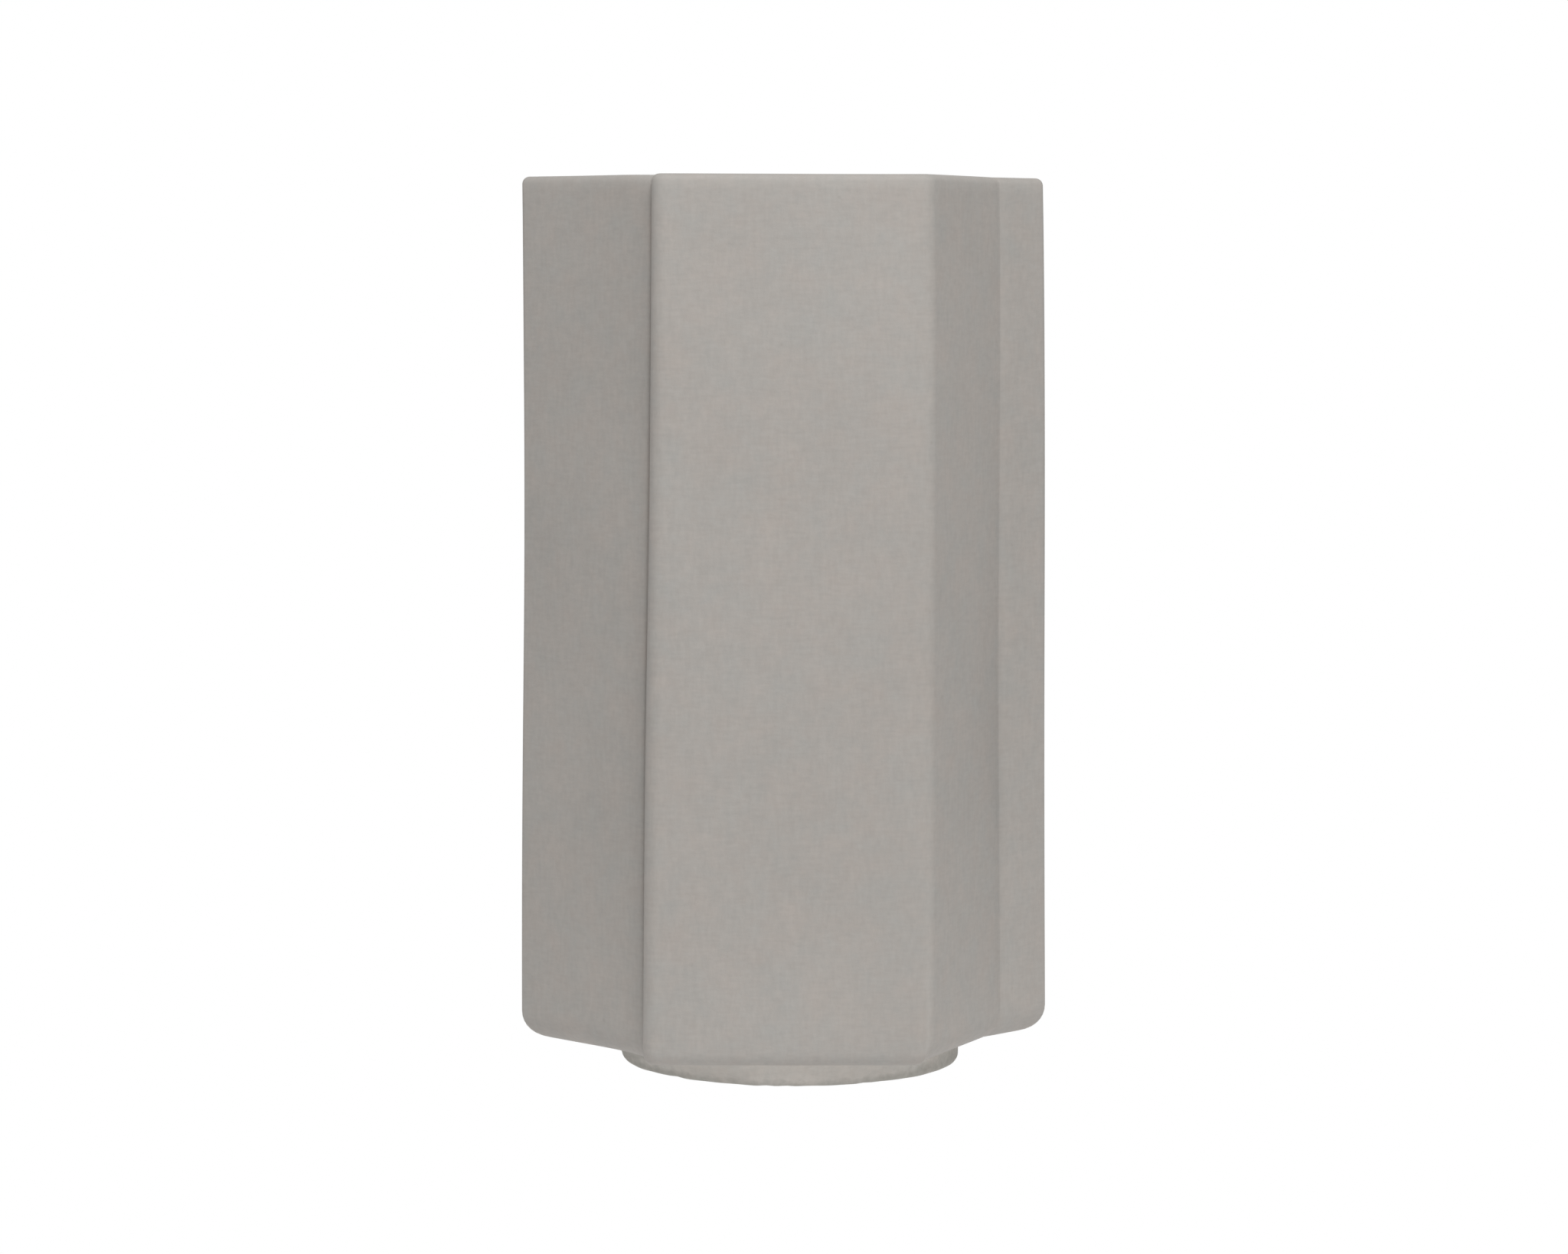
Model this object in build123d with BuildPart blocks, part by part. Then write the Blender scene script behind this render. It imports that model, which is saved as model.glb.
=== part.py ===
from build123d import *
import os
from math import cos, radians, sin, sqrt, tan

# Hanging wall vase: a slab-built stoneware vessel that hooks over a bevelled bar on the wall.
# The wall is the plane Y = 0, the vase faces -Y and +Z is up. The origin lies on the wall, midway
# between the two wall plugs. All sizes are in millimetres.

# Vessel, measured at the rim
body_height = 232.4  # rim to the underside of the floor slab
body_half_width = 69.9  # middle to either side face
body_depth = 100.0  # front panel to back
wall_thickness = 6.0
floor_thickness = 8.0
rim_radius = 2.0  # rounding of the lip, outside and inside
floor_edge_radius = 7.0  # rounding under the floor slab's edge
floor_edge_steps = 6  # bands that draw the rounding
face_flare = 1.2  # how far each visible face stands further out at the underside

# Folds of the wall in plan
seam_x = -33.9  # left edge of the front panel, where the slab laps over the wing
seam_lean = 3.3  # how far that edge leans to the left from rim to underside
lap_step = 7.4  # depth from the front panel back to the wing at the seam
wing_angle = 45.0  # left wing, turned back from the front panel
front_right_x = 37.7  # right edge of the front panel
return_angle = 64.0  # face that turns back beside the front panel
crease_x = 57.1  # inner corner between the return and the cheek
cheek_angle = 45.0  # right-hand face beyond the crease
fold_radius = 2.5  # outer corners
crease_radius = 1.0  # inner corners
back_corner_radius = 9.0
inside_corner_radius = 2.5

# Foot
foot_radius = 45.5
foot_width = 8.5
foot_height = 6.1
foot_edge_radius = 1.3
foot_offset_x = 2.1  # the foot sits a little right of the middle

# Bevelled bars
bar_length = 100.0
bar_height = 26.0  # on the taller face
bar_thickness = 8.0
bar_edge_break = 0.6
head_angle = 90.0  # countersunk heads of the bolts and screws
bevel_clearance = 0.2
bar_wall_gap = 1.0  # hanger bar to the wall
gasket_thickness = 1.5

# Bolts through the vessel's back
bolt_spacing = 60.0
bolt_below_rim = 34.0
bolt_radius = 2.5
bolt_reach = 4.3  # thread inside the cap nut
bolt_head_radius = 4.8
bolt_socket_across_flats = 3.0
bolt_socket_depth = 1.8
bolt_clearance = 0.25  # bolt to the holes that it passes through
thread_clearance = 0.05  # bolt to the cap nut
seal_radius = 8.0
seal_thickness = 2.0
washer_radius = 7.5
washer_thickness = 1.2
nut_across_flats = 8.0
nut_hex_height = 4.0
nut_shoulder = 0.3  # hexagon's flats to the dome
nut_bore_spare = 3.2  # bore beyond the bolt's end
nut_crown = 2.5  # metal beyond the bore

# Pads between the vase and the wall
pad_radius = 7.0
pad_edge_radius = 1.5
pad_spacing = 90.0
pad_above_underside = 30.0

# Wall fixings
screw_spacing = 64.0
screw_radius = 2.3
screw_length = 44.0
screw_head_radius = 4.6
screw_point_length = 5.0
screw_point_radius = 0.6
screw_clearance = 0.3  # screw to the wall bar's holes
screw_recess_length = 5.0
screw_recess_width = 1.1
screw_recess_depth = 2.0
plug_radius = 4.0
plug_bore_spare = 4.0  # bore beyond the screw's point
plug_tip_chamfer = 1.5
plug_bore_clearance = 0.1
plug_floor = 2.0  # closed end of the plug
plug_relief_clearance = 0.8  # wall bar to a plug that stands proud of the wall
plug_relief_depth = 1.0

# Places that follow from the sizes above
sides = (-1, 1)
looks_right, looks_back, looks_left, looks_front = 0, 90, 180, 270  # bearings in plan
head_slope = tan(radians(head_angle / 2))  # a countersunk head's radius lost per length
bar_low_edge = bar_height - bar_thickness  # height of a bar's shorter face
wall_bar_bottom = -bar_low_edge / 2
wall_bar_front_y = -bar_thickness
bevel_level = bar_low_edge / 2  # wall bar's bevel plane is Z + Y = bevel_level
hook_level = bevel_level + bevel_clearance * sqrt(2)
hanger_back_y = -bar_wall_gap
hanger_front_y = hanger_back_y - bar_thickness
hanger_top = hook_level - hanger_back_y + bar_height
hanger_front_bottom = hook_level - hanger_front_y
bolt_z = (hanger_top + hanger_front_bottom) / 2
back_y = hanger_front_y - gasket_thickness
front_y = back_y - body_depth
inside_back_y = back_y - wall_thickness
rim_z = bolt_z + bolt_below_rim
underside_z = rim_z - body_height
foot_y = (front_y + back_y) / 2
foot_bottom_z = underside_z - foot_height
pad_z = underside_z + pad_above_underside
seal_inner_y = inside_back_y - seal_thickness
washer_inner_y = seal_inner_y - washer_thickness
bolt_length = hanger_back_y - washer_inner_y + bolt_reach
nut_bore_depth = bolt_reach + nut_bore_spare
nut_height = nut_bore_depth + nut_crown
nut_dome_radius = nut_across_flats / 2 - nut_shoulder
plug_bore_depth = screw_length - bar_thickness + plug_bore_spare
plug_length = plug_bore_depth + plug_floor
bolt_xs = [side * bolt_spacing / 2 for side in sides]
screw_xs = [side * screw_spacing / 2 for side in sides]
pad_xs = [side * pad_spacing / 2 for side in sides]


def upright_face(bearing, x, y, outwards):
    """Plan line of a wall face: its outward normal and its distance from the origin.

    The bearing is the way that the face looks, (x, y) is a point of the face at the rim, and
    outwards moves the face along its normal.
    """
    normal_x = cos(radians(bearing))
    normal_y = sin(radians(bearing))
    return normal_x, normal_y, normal_x * x + normal_y * y + outwards


def meeting_point(first, second):
    """Plan point where two wall faces meet."""
    across = first[0] * second[1] - first[1] * second[0]
    x = (first[2] * second[1] - second[2] * first[1]) / across
    y = (first[0] * second[2] - second[0] * first[2]) / across
    return x, y


def plan_corners(drop, inset, lapped):
    """Corners of the wall in plan with their radii, a drop below the rim and an inset inwards.

    They run from the wing round the front to the left side. The lapped outline has the seam's step,
    and the outline inside the vessel has the wing running straight on to the front panel.
    """
    flare = face_flare * drop / body_height
    grown = flare - inset
    crease_y = front_y + (crease_x - front_right_x) * tan(radians(return_angle))
    wing = upright_face(looks_front - wing_angle, seam_x, front_y + lap_step, grown)
    front = upright_face(looks_front, 0, front_y, grown)
    turned_back = upright_face(looks_front + return_angle, front_right_x, front_y, grown)
    cheek = upright_face(looks_front + cheek_angle, crease_x, crease_y, grown)
    right = upright_face(looks_right, body_half_width, 0, grown)
    back = upright_face(looks_back, 0, back_y, -inset)
    left = upright_face(looks_left, -body_half_width, 0, grown)
    seam = upright_face(looks_left, seam_x, 0, seam_lean * drop / body_height - inset)
    if lapped:
        lap = [(wing, seam, crease_radius), (seam, front, fold_radius)]
    else:
        lap = [(wing, front, inside_corner_radius)]
    outer_radius = fold_radius if lapped else inside_corner_radius
    inner_radius = crease_radius if lapped else crease_radius + wall_thickness
    rear_radius = back_corner_radius if lapped else inside_corner_radius
    corners = lap + [
        (front, turned_back, outer_radius),
        (turned_back, cheek, inner_radius),
        (cheek, right, outer_radius),
        (right, back, rear_radius),
        (back, left, rear_radius),
        (left, wing, outer_radius),
    ]
    return [(meeting_point(first, second), radius) for first, second, radius in corners]


def plan_section(drop, inset=0.0, lapped=True):
    """Level section of the vessel, with its folds rounded."""
    corners = plan_corners(drop, inset, lapped)
    with BuildSketch(Plane.XY.offset(rim_z - drop)) as section:
        with BuildLine():
            Polyline(*[point for point, radius in corners], close=True)
        make_face()
        for point, radius in corners:
            fillet(section.vertices().sort_by_distance(point)[0], radius)
    return section.sketch


os.makedirs("parts", exist_ok=True)

# Vessel wall: the folded slab, open at the top, standing on the floor slab
wall_height = body_height - floor_thickness
with BuildPart() as vessel_wall:
    loft([plan_section(wall_height), plan_section(0)], ruled=True)
    loft(
        [plan_section(wall_height, wall_thickness, False), plan_section(0, wall_thickness, False)],
        ruled=True,
        mode=Mode.SUBTRACT,
    )
    fillet(vessel_wall.edges().group_by(Axis.Z)[-1], rim_radius)
    for bolt_x in bolt_xs:
        with Locations(Plane(origin=(bolt_x, back_y, bolt_z), z_dir=(0, 1, 0))):
            Hole(bolt_radius + bolt_clearance, depth=wall_thickness)
vessel_wall.part.label = "vessel_wall"
export_step(vessel_wall.part, "parts/vessel_wall.step")

# Vessel floor: a slab on the wall's outline, its lower edge drawn in on a quarter circle
edge_angles = [radians(90 * step / floor_edge_steps) for step in range(floor_edge_steps + 1)]
edge_sections = [
    plan_section(
        body_height - floor_edge_radius * (1 - sin(angle)),
        floor_edge_radius * (1 - cos(angle)),
    )
    for angle in edge_angles
]
with BuildPart() as vessel_floor:
    loft([plan_section(wall_height)] + edge_sections, ruled=True)
vessel_floor.part.label = "vessel_floor"
export_step(vessel_floor.part, "parts/vessel_floor.step")

# Foot ring, luted under the floor
with BuildPart() as foot_ring:
    with BuildSketch(Plane.XY.offset(foot_bottom_z)):
        with Locations((foot_offset_x, foot_y)):
            Circle(foot_radius)
            Circle(foot_radius - foot_width, mode=Mode.SUBTRACT)
    extrude(amount=foot_height)
    fillet(foot_ring.edges().group_by(Axis.Z)[0], foot_edge_radius)
foot_ring.part.label = "foot_ring"
export_step(foot_ring.part, "parts/foot_ring.step")

# Hanger bar: its lower edge is bevelled so that it hooks down behind the wall bar
with BuildPart() as hanger_bar:
    with BuildSketch(Plane.YZ):
        with BuildLine():
            Polyline(
                (hanger_front_y, hanger_front_bottom),
                (hanger_back_y, hook_level - hanger_back_y),
                (hanger_back_y, hanger_top),
                (hanger_front_y, hanger_top),
                close=True,
            )
        make_face()
    extrude(amount=bar_length / 2, both=True)
    chamfer(hanger_bar.edges().filter_by(Axis.X).group_by(Axis.Z)[-1], bar_edge_break)
    for bolt_x in bolt_xs:
        with Locations(Plane(origin=(bolt_x, hanger_back_y, bolt_z), z_dir=(0, 1, 0))):
            CounterSinkHole(
                bolt_radius + bolt_clearance,
                bolt_head_radius + bolt_clearance,
                depth=bar_thickness,
                counter_sink_angle=head_angle,
            )
hanger_bar.part.label = "hanger_bar"
export_step(hanger_bar.part, "parts/hanger_bar.step")

# Gasket between the hanger bar and the vessel's back
with BuildPart() as bar_gasket:
    with BuildSketch(Plane.XZ.offset(-hanger_front_y)):
        with Locations((0, bolt_z)):
            Rectangle(bar_length, bar_low_edge)
        with Locations(*[(bolt_x, bolt_z) for bolt_x in bolt_xs]):
            Circle(bolt_radius + bolt_clearance, mode=Mode.SUBTRACT)
    extrude(amount=gasket_thickness)
bar_gasket.part.label = "bar_gasket"
export_step(bar_gasket.part, "parts/bar_gasket.step")

# Hanger bolts: countersunk heads in the bar, shanks through the back wall, hexagon sockets
bolt_head_height = (bolt_head_radius - bolt_radius) / head_slope
with BuildPart() as hanger_bolts:
    for bolt_x in bolt_xs:
        with BuildSketch(Plane(origin=(bolt_x, hanger_back_y, bolt_z), z_dir=(0, 0, 1))):
            with BuildLine():
                Polyline(
                    (0, 0),
                    (bolt_head_radius, 0),
                    (bolt_radius, -bolt_head_height),
                    (bolt_radius, -bolt_length),
                    (0, -bolt_length),
                    close=True,
                )
            make_face()
        revolve(axis=Axis((bolt_x, 0, bolt_z), (0, 1, 0)))
    for bolt_x in bolt_xs:
        with BuildSketch(Plane(origin=(bolt_x, hanger_back_y, bolt_z), z_dir=(0, 1, 0))):
            RegularPolygon(bolt_socket_across_flats / 2, 6, major_radius=False)
        extrude(amount=-bolt_socket_depth, mode=Mode.SUBTRACT)
hanger_bolts.part.label = "hanger_bolts"
export_step(hanger_bolts.part, "parts/hanger_bolts.step")

# Rubber seals on the inside of the back wall
with BuildPart() as seal_washers:
    with BuildSketch(Plane.XZ.offset(-inside_back_y)):
        with Locations(*[(bolt_x, bolt_z) for bolt_x in bolt_xs]):
            Circle(seal_radius)
            Circle(bolt_radius + bolt_clearance, mode=Mode.SUBTRACT)
    extrude(amount=seal_thickness)
seal_washers.part.label = "seal_washers"
export_step(seal_washers.part, "parts/seal_washers.step")

# Steel washers on the seals
with BuildPart() as flat_washers:
    with BuildSketch(Plane.XZ.offset(-seal_inner_y)):
        with Locations(*[(bolt_x, bolt_z) for bolt_x in bolt_xs]):
            Circle(washer_radius)
            Circle(bolt_radius + bolt_clearance, mode=Mode.SUBTRACT)
    extrude(amount=washer_thickness)
flat_washers.part.label = "flat_washers"
export_step(flat_washers.part, "parts/flat_washers.step")

# Cap nuts: a hexagon with a dome over a blind thread
nut_neck_height = nut_height - nut_dome_radius
with BuildPart() as cap_nuts:
    for bolt_x in bolt_xs:
        with BuildSketch(Plane(origin=(bolt_x, washer_inner_y, bolt_z), z_dir=(0, -1, 0))):
            RegularPolygon(nut_across_flats / 2, 6, major_radius=False)
        extrude(amount=nut_hex_height)
    for bolt_x in bolt_xs:
        with BuildSketch(Plane(origin=(bolt_x, washer_inner_y, bolt_z), z_dir=(0, 0, 1))):
            with BuildLine():
                Polyline(
                    (0, -nut_height),
                    (0, -nut_hex_height),
                    (nut_dome_radius, -nut_hex_height),
                    (nut_dome_radius, -nut_neck_height),
                )
                RadiusArc((nut_dome_radius, -nut_neck_height), (0, -nut_height), nut_dome_radius)
            make_face()
        revolve(axis=Axis((bolt_x, 0, bolt_z), (0, 1, 0)))
    for bolt_x in bolt_xs:
        with Locations(Plane(origin=(bolt_x, washer_inner_y, bolt_z), z_dir=(0, 1, 0))):
            Hole(bolt_radius + thread_clearance, depth=nut_bore_depth)
cap_nuts.part.label = "cap_nuts"
export_step(cap_nuts.part, "parts/cap_nuts.step")

# Pads that stand the lower back off the wall as far as the bars do
with BuildPart() as wall_pads:
    with BuildSketch(Plane.XZ):
        with Locations(*[(pad_x, pad_z) for pad_x in pad_xs]):
            Circle(pad_radius)
    extrude(amount=-back_y)
    fillet(wall_pads.edges().group_by(Axis.Y)[-1], pad_edge_radius)
wall_pads.part.label = "wall_pads"
export_step(wall_pads.part, "parts/wall_pads.step")

# Wall bar: the same section the other way up, screwed to the wall
with BuildPart() as wall_bar:
    with BuildSketch(Plane.YZ):
        with BuildLine():
            Polyline(
                (0, wall_bar_bottom),
                (0, bevel_level),
                (wall_bar_front_y, bevel_level - wall_bar_front_y),
                (wall_bar_front_y, wall_bar_bottom),
                close=True,
            )
        make_face()
    extrude(amount=bar_length / 2, both=True)
    chamfer(wall_bar.edges().filter_by(Axis.X).group_by(Axis.Z)[0], bar_edge_break)
    for screw_x in screw_xs:
        with Locations(Plane(origin=(screw_x, wall_bar_front_y, 0), z_dir=(0, -1, 0))):
            CounterSinkHole(
                screw_radius + screw_clearance,
                screw_head_radius + screw_clearance,
                depth=bar_thickness,
                counter_sink_angle=head_angle,
            )
        with Locations(Plane(origin=(screw_x, 0, 0), z_dir=(0, 1, 0))):
            Hole(plug_radius + plug_relief_clearance, depth=plug_relief_depth)
wall_bar.part.label = "wall_bar"
export_step(wall_bar.part, "parts/wall_bar.step")

# Wall screws: countersunk heads with a cross recess
screw_head_height = (screw_head_radius - screw_radius) / head_slope
with BuildPart() as wall_screws:
    for screw_x in screw_xs:
        with BuildSketch(Plane(origin=(screw_x, wall_bar_front_y, 0), z_dir=(0, 0, 1))):
            with BuildLine():
                Polyline(
                    (0, 0),
                    (screw_head_radius, 0),
                    (screw_radius, screw_head_height),
                    (screw_radius, screw_length - screw_point_length),
                    (screw_point_radius, screw_length),
                    (0, screw_length),
                    close=True,
                )
            make_face()
        revolve(axis=Axis((screw_x, 0, 0), (0, 1, 0)))
    for screw_x in screw_xs:
        with BuildSketch(Plane(origin=(screw_x, wall_bar_front_y, 0), z_dir=(0, -1, 0))):
            Rectangle(screw_recess_length, screw_recess_width)
            Rectangle(screw_recess_width, screw_recess_length)
        extrude(amount=-screw_recess_depth, mode=Mode.SUBTRACT)
wall_screws.part.label = "wall_screws"
export_step(wall_screws.part, "parts/wall_screws.step")

# Wall plugs, flush with the wall's surface
with BuildPart() as wall_plugs:
    with BuildSketch(Plane.XZ):
        with Locations(*[(screw_x, 0) for screw_x in screw_xs]):
            Circle(plug_radius)
    extrude(amount=-plug_length)
    chamfer(wall_plugs.edges().group_by(Axis.Y)[-1], plug_tip_chamfer)
    for screw_x in screw_xs:
        with Locations(Plane(origin=(screw_x, 0, 0), z_dir=(0, -1, 0))):
            Hole(screw_radius + plug_bore_clearance, depth=plug_bore_depth)
wall_plugs.part.label = "wall_plugs"
export_step(wall_plugs.part, "parts/wall_plugs.step")
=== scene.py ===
"""Dresses the hanging wall vase for rendering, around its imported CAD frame.

The wall is the plane Y = 0, the vase faces -Y and +Z is up. All lengths are in metres.
"""
import logging
import math
from dataclasses import dataclass, field
from enum import Enum, IntEnum
from functools import cache
from typing import Any

import bmesh
import bpy
import numpy as np
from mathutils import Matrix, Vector


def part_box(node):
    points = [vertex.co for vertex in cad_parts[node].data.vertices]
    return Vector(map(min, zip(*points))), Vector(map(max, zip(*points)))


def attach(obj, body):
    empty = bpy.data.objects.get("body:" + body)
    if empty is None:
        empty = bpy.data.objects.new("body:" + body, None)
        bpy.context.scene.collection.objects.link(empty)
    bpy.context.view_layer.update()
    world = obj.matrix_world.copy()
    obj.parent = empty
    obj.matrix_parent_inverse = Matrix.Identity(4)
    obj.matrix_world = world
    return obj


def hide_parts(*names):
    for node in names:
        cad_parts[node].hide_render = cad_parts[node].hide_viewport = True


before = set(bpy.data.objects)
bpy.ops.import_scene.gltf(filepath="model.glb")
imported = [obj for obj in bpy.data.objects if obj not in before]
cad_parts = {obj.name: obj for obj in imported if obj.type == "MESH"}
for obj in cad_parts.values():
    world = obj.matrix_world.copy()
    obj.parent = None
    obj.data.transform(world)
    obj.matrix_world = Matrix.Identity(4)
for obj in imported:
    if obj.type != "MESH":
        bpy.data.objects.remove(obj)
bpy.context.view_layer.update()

log = logging.getLogger("wall_vase")

FULL_TURN = 2.0 * math.pi
QUARTER_TURN = math.pi / 2.0
SIDES = (("left", -1.0), ("right", 1.0))

Colour = tuple[float, float, float]
Point = tuple[float, float, float]
Span = tuple[float, float]
Waves = tuple[tuple[float, float, float, float], ...]  # height, waves round, fall and phase of each
Turned = tuple[np.ndarray, np.ndarray, np.ndarray]  # radius, distance along and angle, profile points by columns


class Body(Enum):
    """CAD bodies that the pieces ride on."""

    VASE = "vase"
    WALL_MOUNT = "wall_mount"


class Slot(Enum):
    """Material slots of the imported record."""

    STONEWARE = "stoneware"
    FOOT = "foot_stoneware"
    ALUMINIUM = "bar_aluminium"
    RUBBER = "black_rubber"
    SILICONE = "pad_silicone"
    STAINLESS = "stainless_steel"
    ZINC = "zinc_steel"
    NYLON = "plug_nylon"


class Mark(Enum):
    """Values kept on a mesh's points for its material to read."""

    EDGE = "edge"
    # painted shade in the crease and beside the lap
    PAINTED_SHADE = "painted_shade"
    INSIDE = "inside"


class Face(IntEnum):
    """Faces of the folded wall, in their order round it."""

    WING = 0
    LAP_EDGE = 1
    FRONT = 2


class Corner(IntEnum):
    """Corners of the folded wall, each after the face of the same number."""

    LAP = 0
    NOSE = 1
    FRONT_FOLD = 2
    CREASE = 3
    RIGHT_FOLD = 4
    LEFT_FOLD = 7


# Shader nodes

NOISE_SPAN = (0.3, 0.7)  # holds most of a noise's values
TOOL_SPAN = (0.35, 0.65)  # the same for the mean of two noises
EVEN = (1.0, 1.0, 1.0)

# The Mix node has sockets of the same name for each kind of value, so its colours go by number.
MIX_SHARE, MIX_FIRST, MIX_SECOND, MIX_RESULT = 0, 6, 7, 2


class NodeSheet:
    """Lays nodes in one shader tree, with inputs given as values or as other nodes' sockets."""

    def __init__(self, tree: bpy.types.NodeTree) -> None:
        """Starts on a tree of a material, a world or a node group."""
        self.tree = tree

    @classmethod
    def cleared(cls, owner: bpy.types.Material | bpy.types.World) -> "NodeSheet":
        """Starts on a material or a world.

        Args:
            owner: the material or the world.

        Returns:
            The sheet of its emptied tree.
        """
        owner.use_nodes = True
        owner.node_tree.nodes.clear()
        return cls(owner.node_tree)

    def feed(self, node: bpy.types.Node, inputs: dict[str | int, Any]) -> None:
        """Gives a node its inputs.

        Args:
            node: the node.
            inputs: value or source socket for each named or numbered input.
        """
        for key, value in inputs.items():
            if isinstance(value, bpy.types.NodeSocket):
                self.tree.links.new(value, node.inputs[key])
            else:
                node.inputs[key].default_value = value

    def add(self, kind: str, inputs: dict[str | int, Any] | None = None, **settings: Any) -> bpy.types.Node:
        """Adds a node.

        Args:
            kind: Blender's name for the node type.
            inputs: value or source socket for each named or numbered input.
            settings: properties of the node itself.

        Returns:
            The new node.
        """
        node = self.tree.nodes.new(kind)
        for key, value in settings.items():
            setattr(node, key, value)
        self.feed(node, inputs or {})
        return node

    def mix(self, share: Any, first: Any, second: Any) -> bpy.types.NodeSocket:
        """Colour between two colours or sockets, with a share, from 0 to 1, of the second one."""
        inputs = {MIX_SHARE: share, MIX_FIRST: with_alpha(first), MIX_SECOND: with_alpha(second)}
        return self.add("ShaderNodeMix", inputs, data_type="RGBA").outputs[MIX_RESULT]

    def math(self, operation: str, first: Any, second: Any = 0.0) -> bpy.types.NodeSocket:
        """Result of one arithmetic step on two values or sockets."""
        return self.add("ShaderNodeMath", {0: first, 1: second}, operation=operation).outputs[0]

    def scaled(self, colour: Any, level: Any) -> bpy.types.NodeSocket:
        """Colour times a level."""
        return self.add("ShaderNodeVectorMath", {0: colour, "Scale": level}, operation="SCALE").outputs[0]

    def spread(self, value: Any, low: Any, high: Any, start: Any, end: Any) -> bpy.types.NodeSocket:
        """Maps a value from the span low to high on to the span start to end, held at both ends."""
        names = ("Value", "From Min", "From Max", "To Min", "To Max")
        return self.add("ShaderNodeMapRange", dict(zip(names, (value, low, high, start, end)))).outputs["Result"]

    def sway(self, noise: Any, middle: float, swing: float, span: Span = NOISE_SPAN) -> bpy.types.NodeSocket:
        """Maps a noise's span on to the span from middle - swing to middle + swing."""
        return self.spread(noise, *span, middle - swing, middle + swing)

    def noise(self, place: Any, scale: Any, detail: float = 2.0, rough: float = 0.5) -> bpy.types.NodeSocket:
        """Cloudy value from 0 to 1, with scale features to the metre."""
        inputs = {"Vector": place, "Scale": scale, "Detail": detail, "Roughness": rough}
        return self.add("ShaderNodeTexNoise", inputs).outputs[0]

    def stretched(self, place: Any, stretch: Point) -> bpy.types.NodeSocket:
        """Coordinates multiplied along each axis."""
        return self.add("ShaderNodeMapping", {"Vector": place, "Scale": stretch}).outputs[0]

    def place(self, stretch: Point = EVEN) -> bpy.types.NodeSocket:
        """Object coordinates, multiplied along each axis."""
        return self.stretched(self.add("ShaderNodeTexCoord").outputs["Object"], stretch)

    def mark(self, mark: Mark) -> bpy.types.NodeSocket:
        """Value that the mesh keeps on its points."""
        return self.add("ShaderNodeAttribute", attribute_name=mark.value).outputs["Fac"]

    def bump(self, height: Any, distance: float, strength: float) -> bpy.types.NodeSocket:
        """Normal that a height tips, with distance in metres for a height of 1."""
        inputs = {"Height": height, "Distance": distance, "Strength": strength}
        return self.add("ShaderNodeBump", inputs).outputs[0]

    def group(self, tree: bpy.types.NodeTree, inputs: dict[str, Any]) -> bpy.types.NodeOutputs:
        """Outputs of a shared node group, placed with its own values."""
        return self.add("ShaderNodeGroup", inputs, node_tree=tree).outputs


def with_alpha(colour: Any) -> Any:
    """A plain colour with full alpha, or the socket as it is."""
    return colour if isinstance(colour, bpy.types.NodeSocket) else (*colour, 1.0)


# Shared effects

# Scales of the clay's noises, in features to the metre.
WIDE_PATCHES, CLOSE_PATCHES, WARM_DRIFT, TOOL_MARKS = 24.0, 120.0, 95.0, 520.0
PATCH_SHARES = (0.6, 0.4)  # of the wide and the close patches
TOOL_STROKES = ((0.5, 0.5, 2.0), (1.6, 1.6, 0.5))  # stretches that draw the marks out sideways and upwards
SPECK_CORE = (0.05, 0.13)  # distance from a cell's middle at which a speck starts to fade and ends
SPECK_CHOICE = 0.8  # cells with a random value above this have a speck
WEAR_AND_SHADE_SPAN = (0.35, 1.0)  # broken-up edge value at which rubbing, and on the foot the painted shadow, starts and is full


def new_group(name: str, numbers: tuple[str, ...], outputs: tuple[str, ...]) -> tuple[NodeSheet, Any, Any]:
    """Starts a shared node group that takes a place and some numbers.

    Args:
        name: the group's name.
        numbers: names of the numbers that go in.
        outputs: names of the values that the group puts out.

    Returns:
        The group's sheet, the sockets that go in and the node that puts out.
    """
    tree = bpy.data.node_groups.new(name, "ShaderNodeTree")
    tree.interface.new_socket("Place", in_out="INPUT", socket_type="NodeSocketVector")
    for way, labels in (("INPUT", numbers), ("OUTPUT", outputs)):
        for label in labels:
            tree.interface.new_socket(label, in_out=way, socket_type="NodeSocketFloat")
    sheet = NodeSheet(tree)
    return sheet, sheet.add("NodeGroupInput").outputs, sheet.add("NodeGroupOutput")


@cache
def fired_clay() -> bpy.types.NodeTree:
    """Fired clay: wide cloudy patches, warm and cool drift, fine grain, tool marks and a few iron specks.

    Specks are the cores of scattered cells, kept only where the cell's own random value is high. Tool
    marks are the mean of two noises, one drawn out sideways and one upwards.

    Returns:
        The group, with a place and the grain's and specks' scales going in.
    """
    names = ("Patch", "Warmth", "Grain", "Tooling", "Specks")
    sheet, given, result = new_group("fired_clay", ("Grain Scale", "Speck Scale"), names)
    place = given["Place"]
    patches = (sheet.noise(place, WIDE_PATCHES, 3.0), sheet.noise(place, CLOSE_PATCHES, 3.0, 0.6))
    patch = sheet.math("ADD", *(sheet.math("MULTIPLY", *pair) for pair in zip(patches, PATCH_SHARES)))
    warmth = sheet.noise(place, WARM_DRIFT, 4.0, 0.7)
    grain = sheet.noise(place, given["Grain Scale"], 2.0, 0.6)
    strokes = (sheet.noise(sheet.stretched(place, stroke), TOOL_MARKS, 2.0, 0.6) for stroke in TOOL_STROKES)
    tooling = sheet.math("MULTIPLY", sheet.math("ADD", *strokes), 0.5)
    cells = sheet.add("ShaderNodeTexVoronoi", {"Vector": place, "Scale": given["Speck Scale"]}).outputs
    core = sheet.spread(cells["Distance"], *SPECK_CORE, 1.0, 0.0)
    specks = sheet.math("MULTIPLY", core, sheet.math("GREATER_THAN", cells["Color"], SPECK_CHOICE))
    sheet.feed(result, dict(zip(names, (patch, warmth, grain, tooling, specks))))
    return sheet.tree


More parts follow.
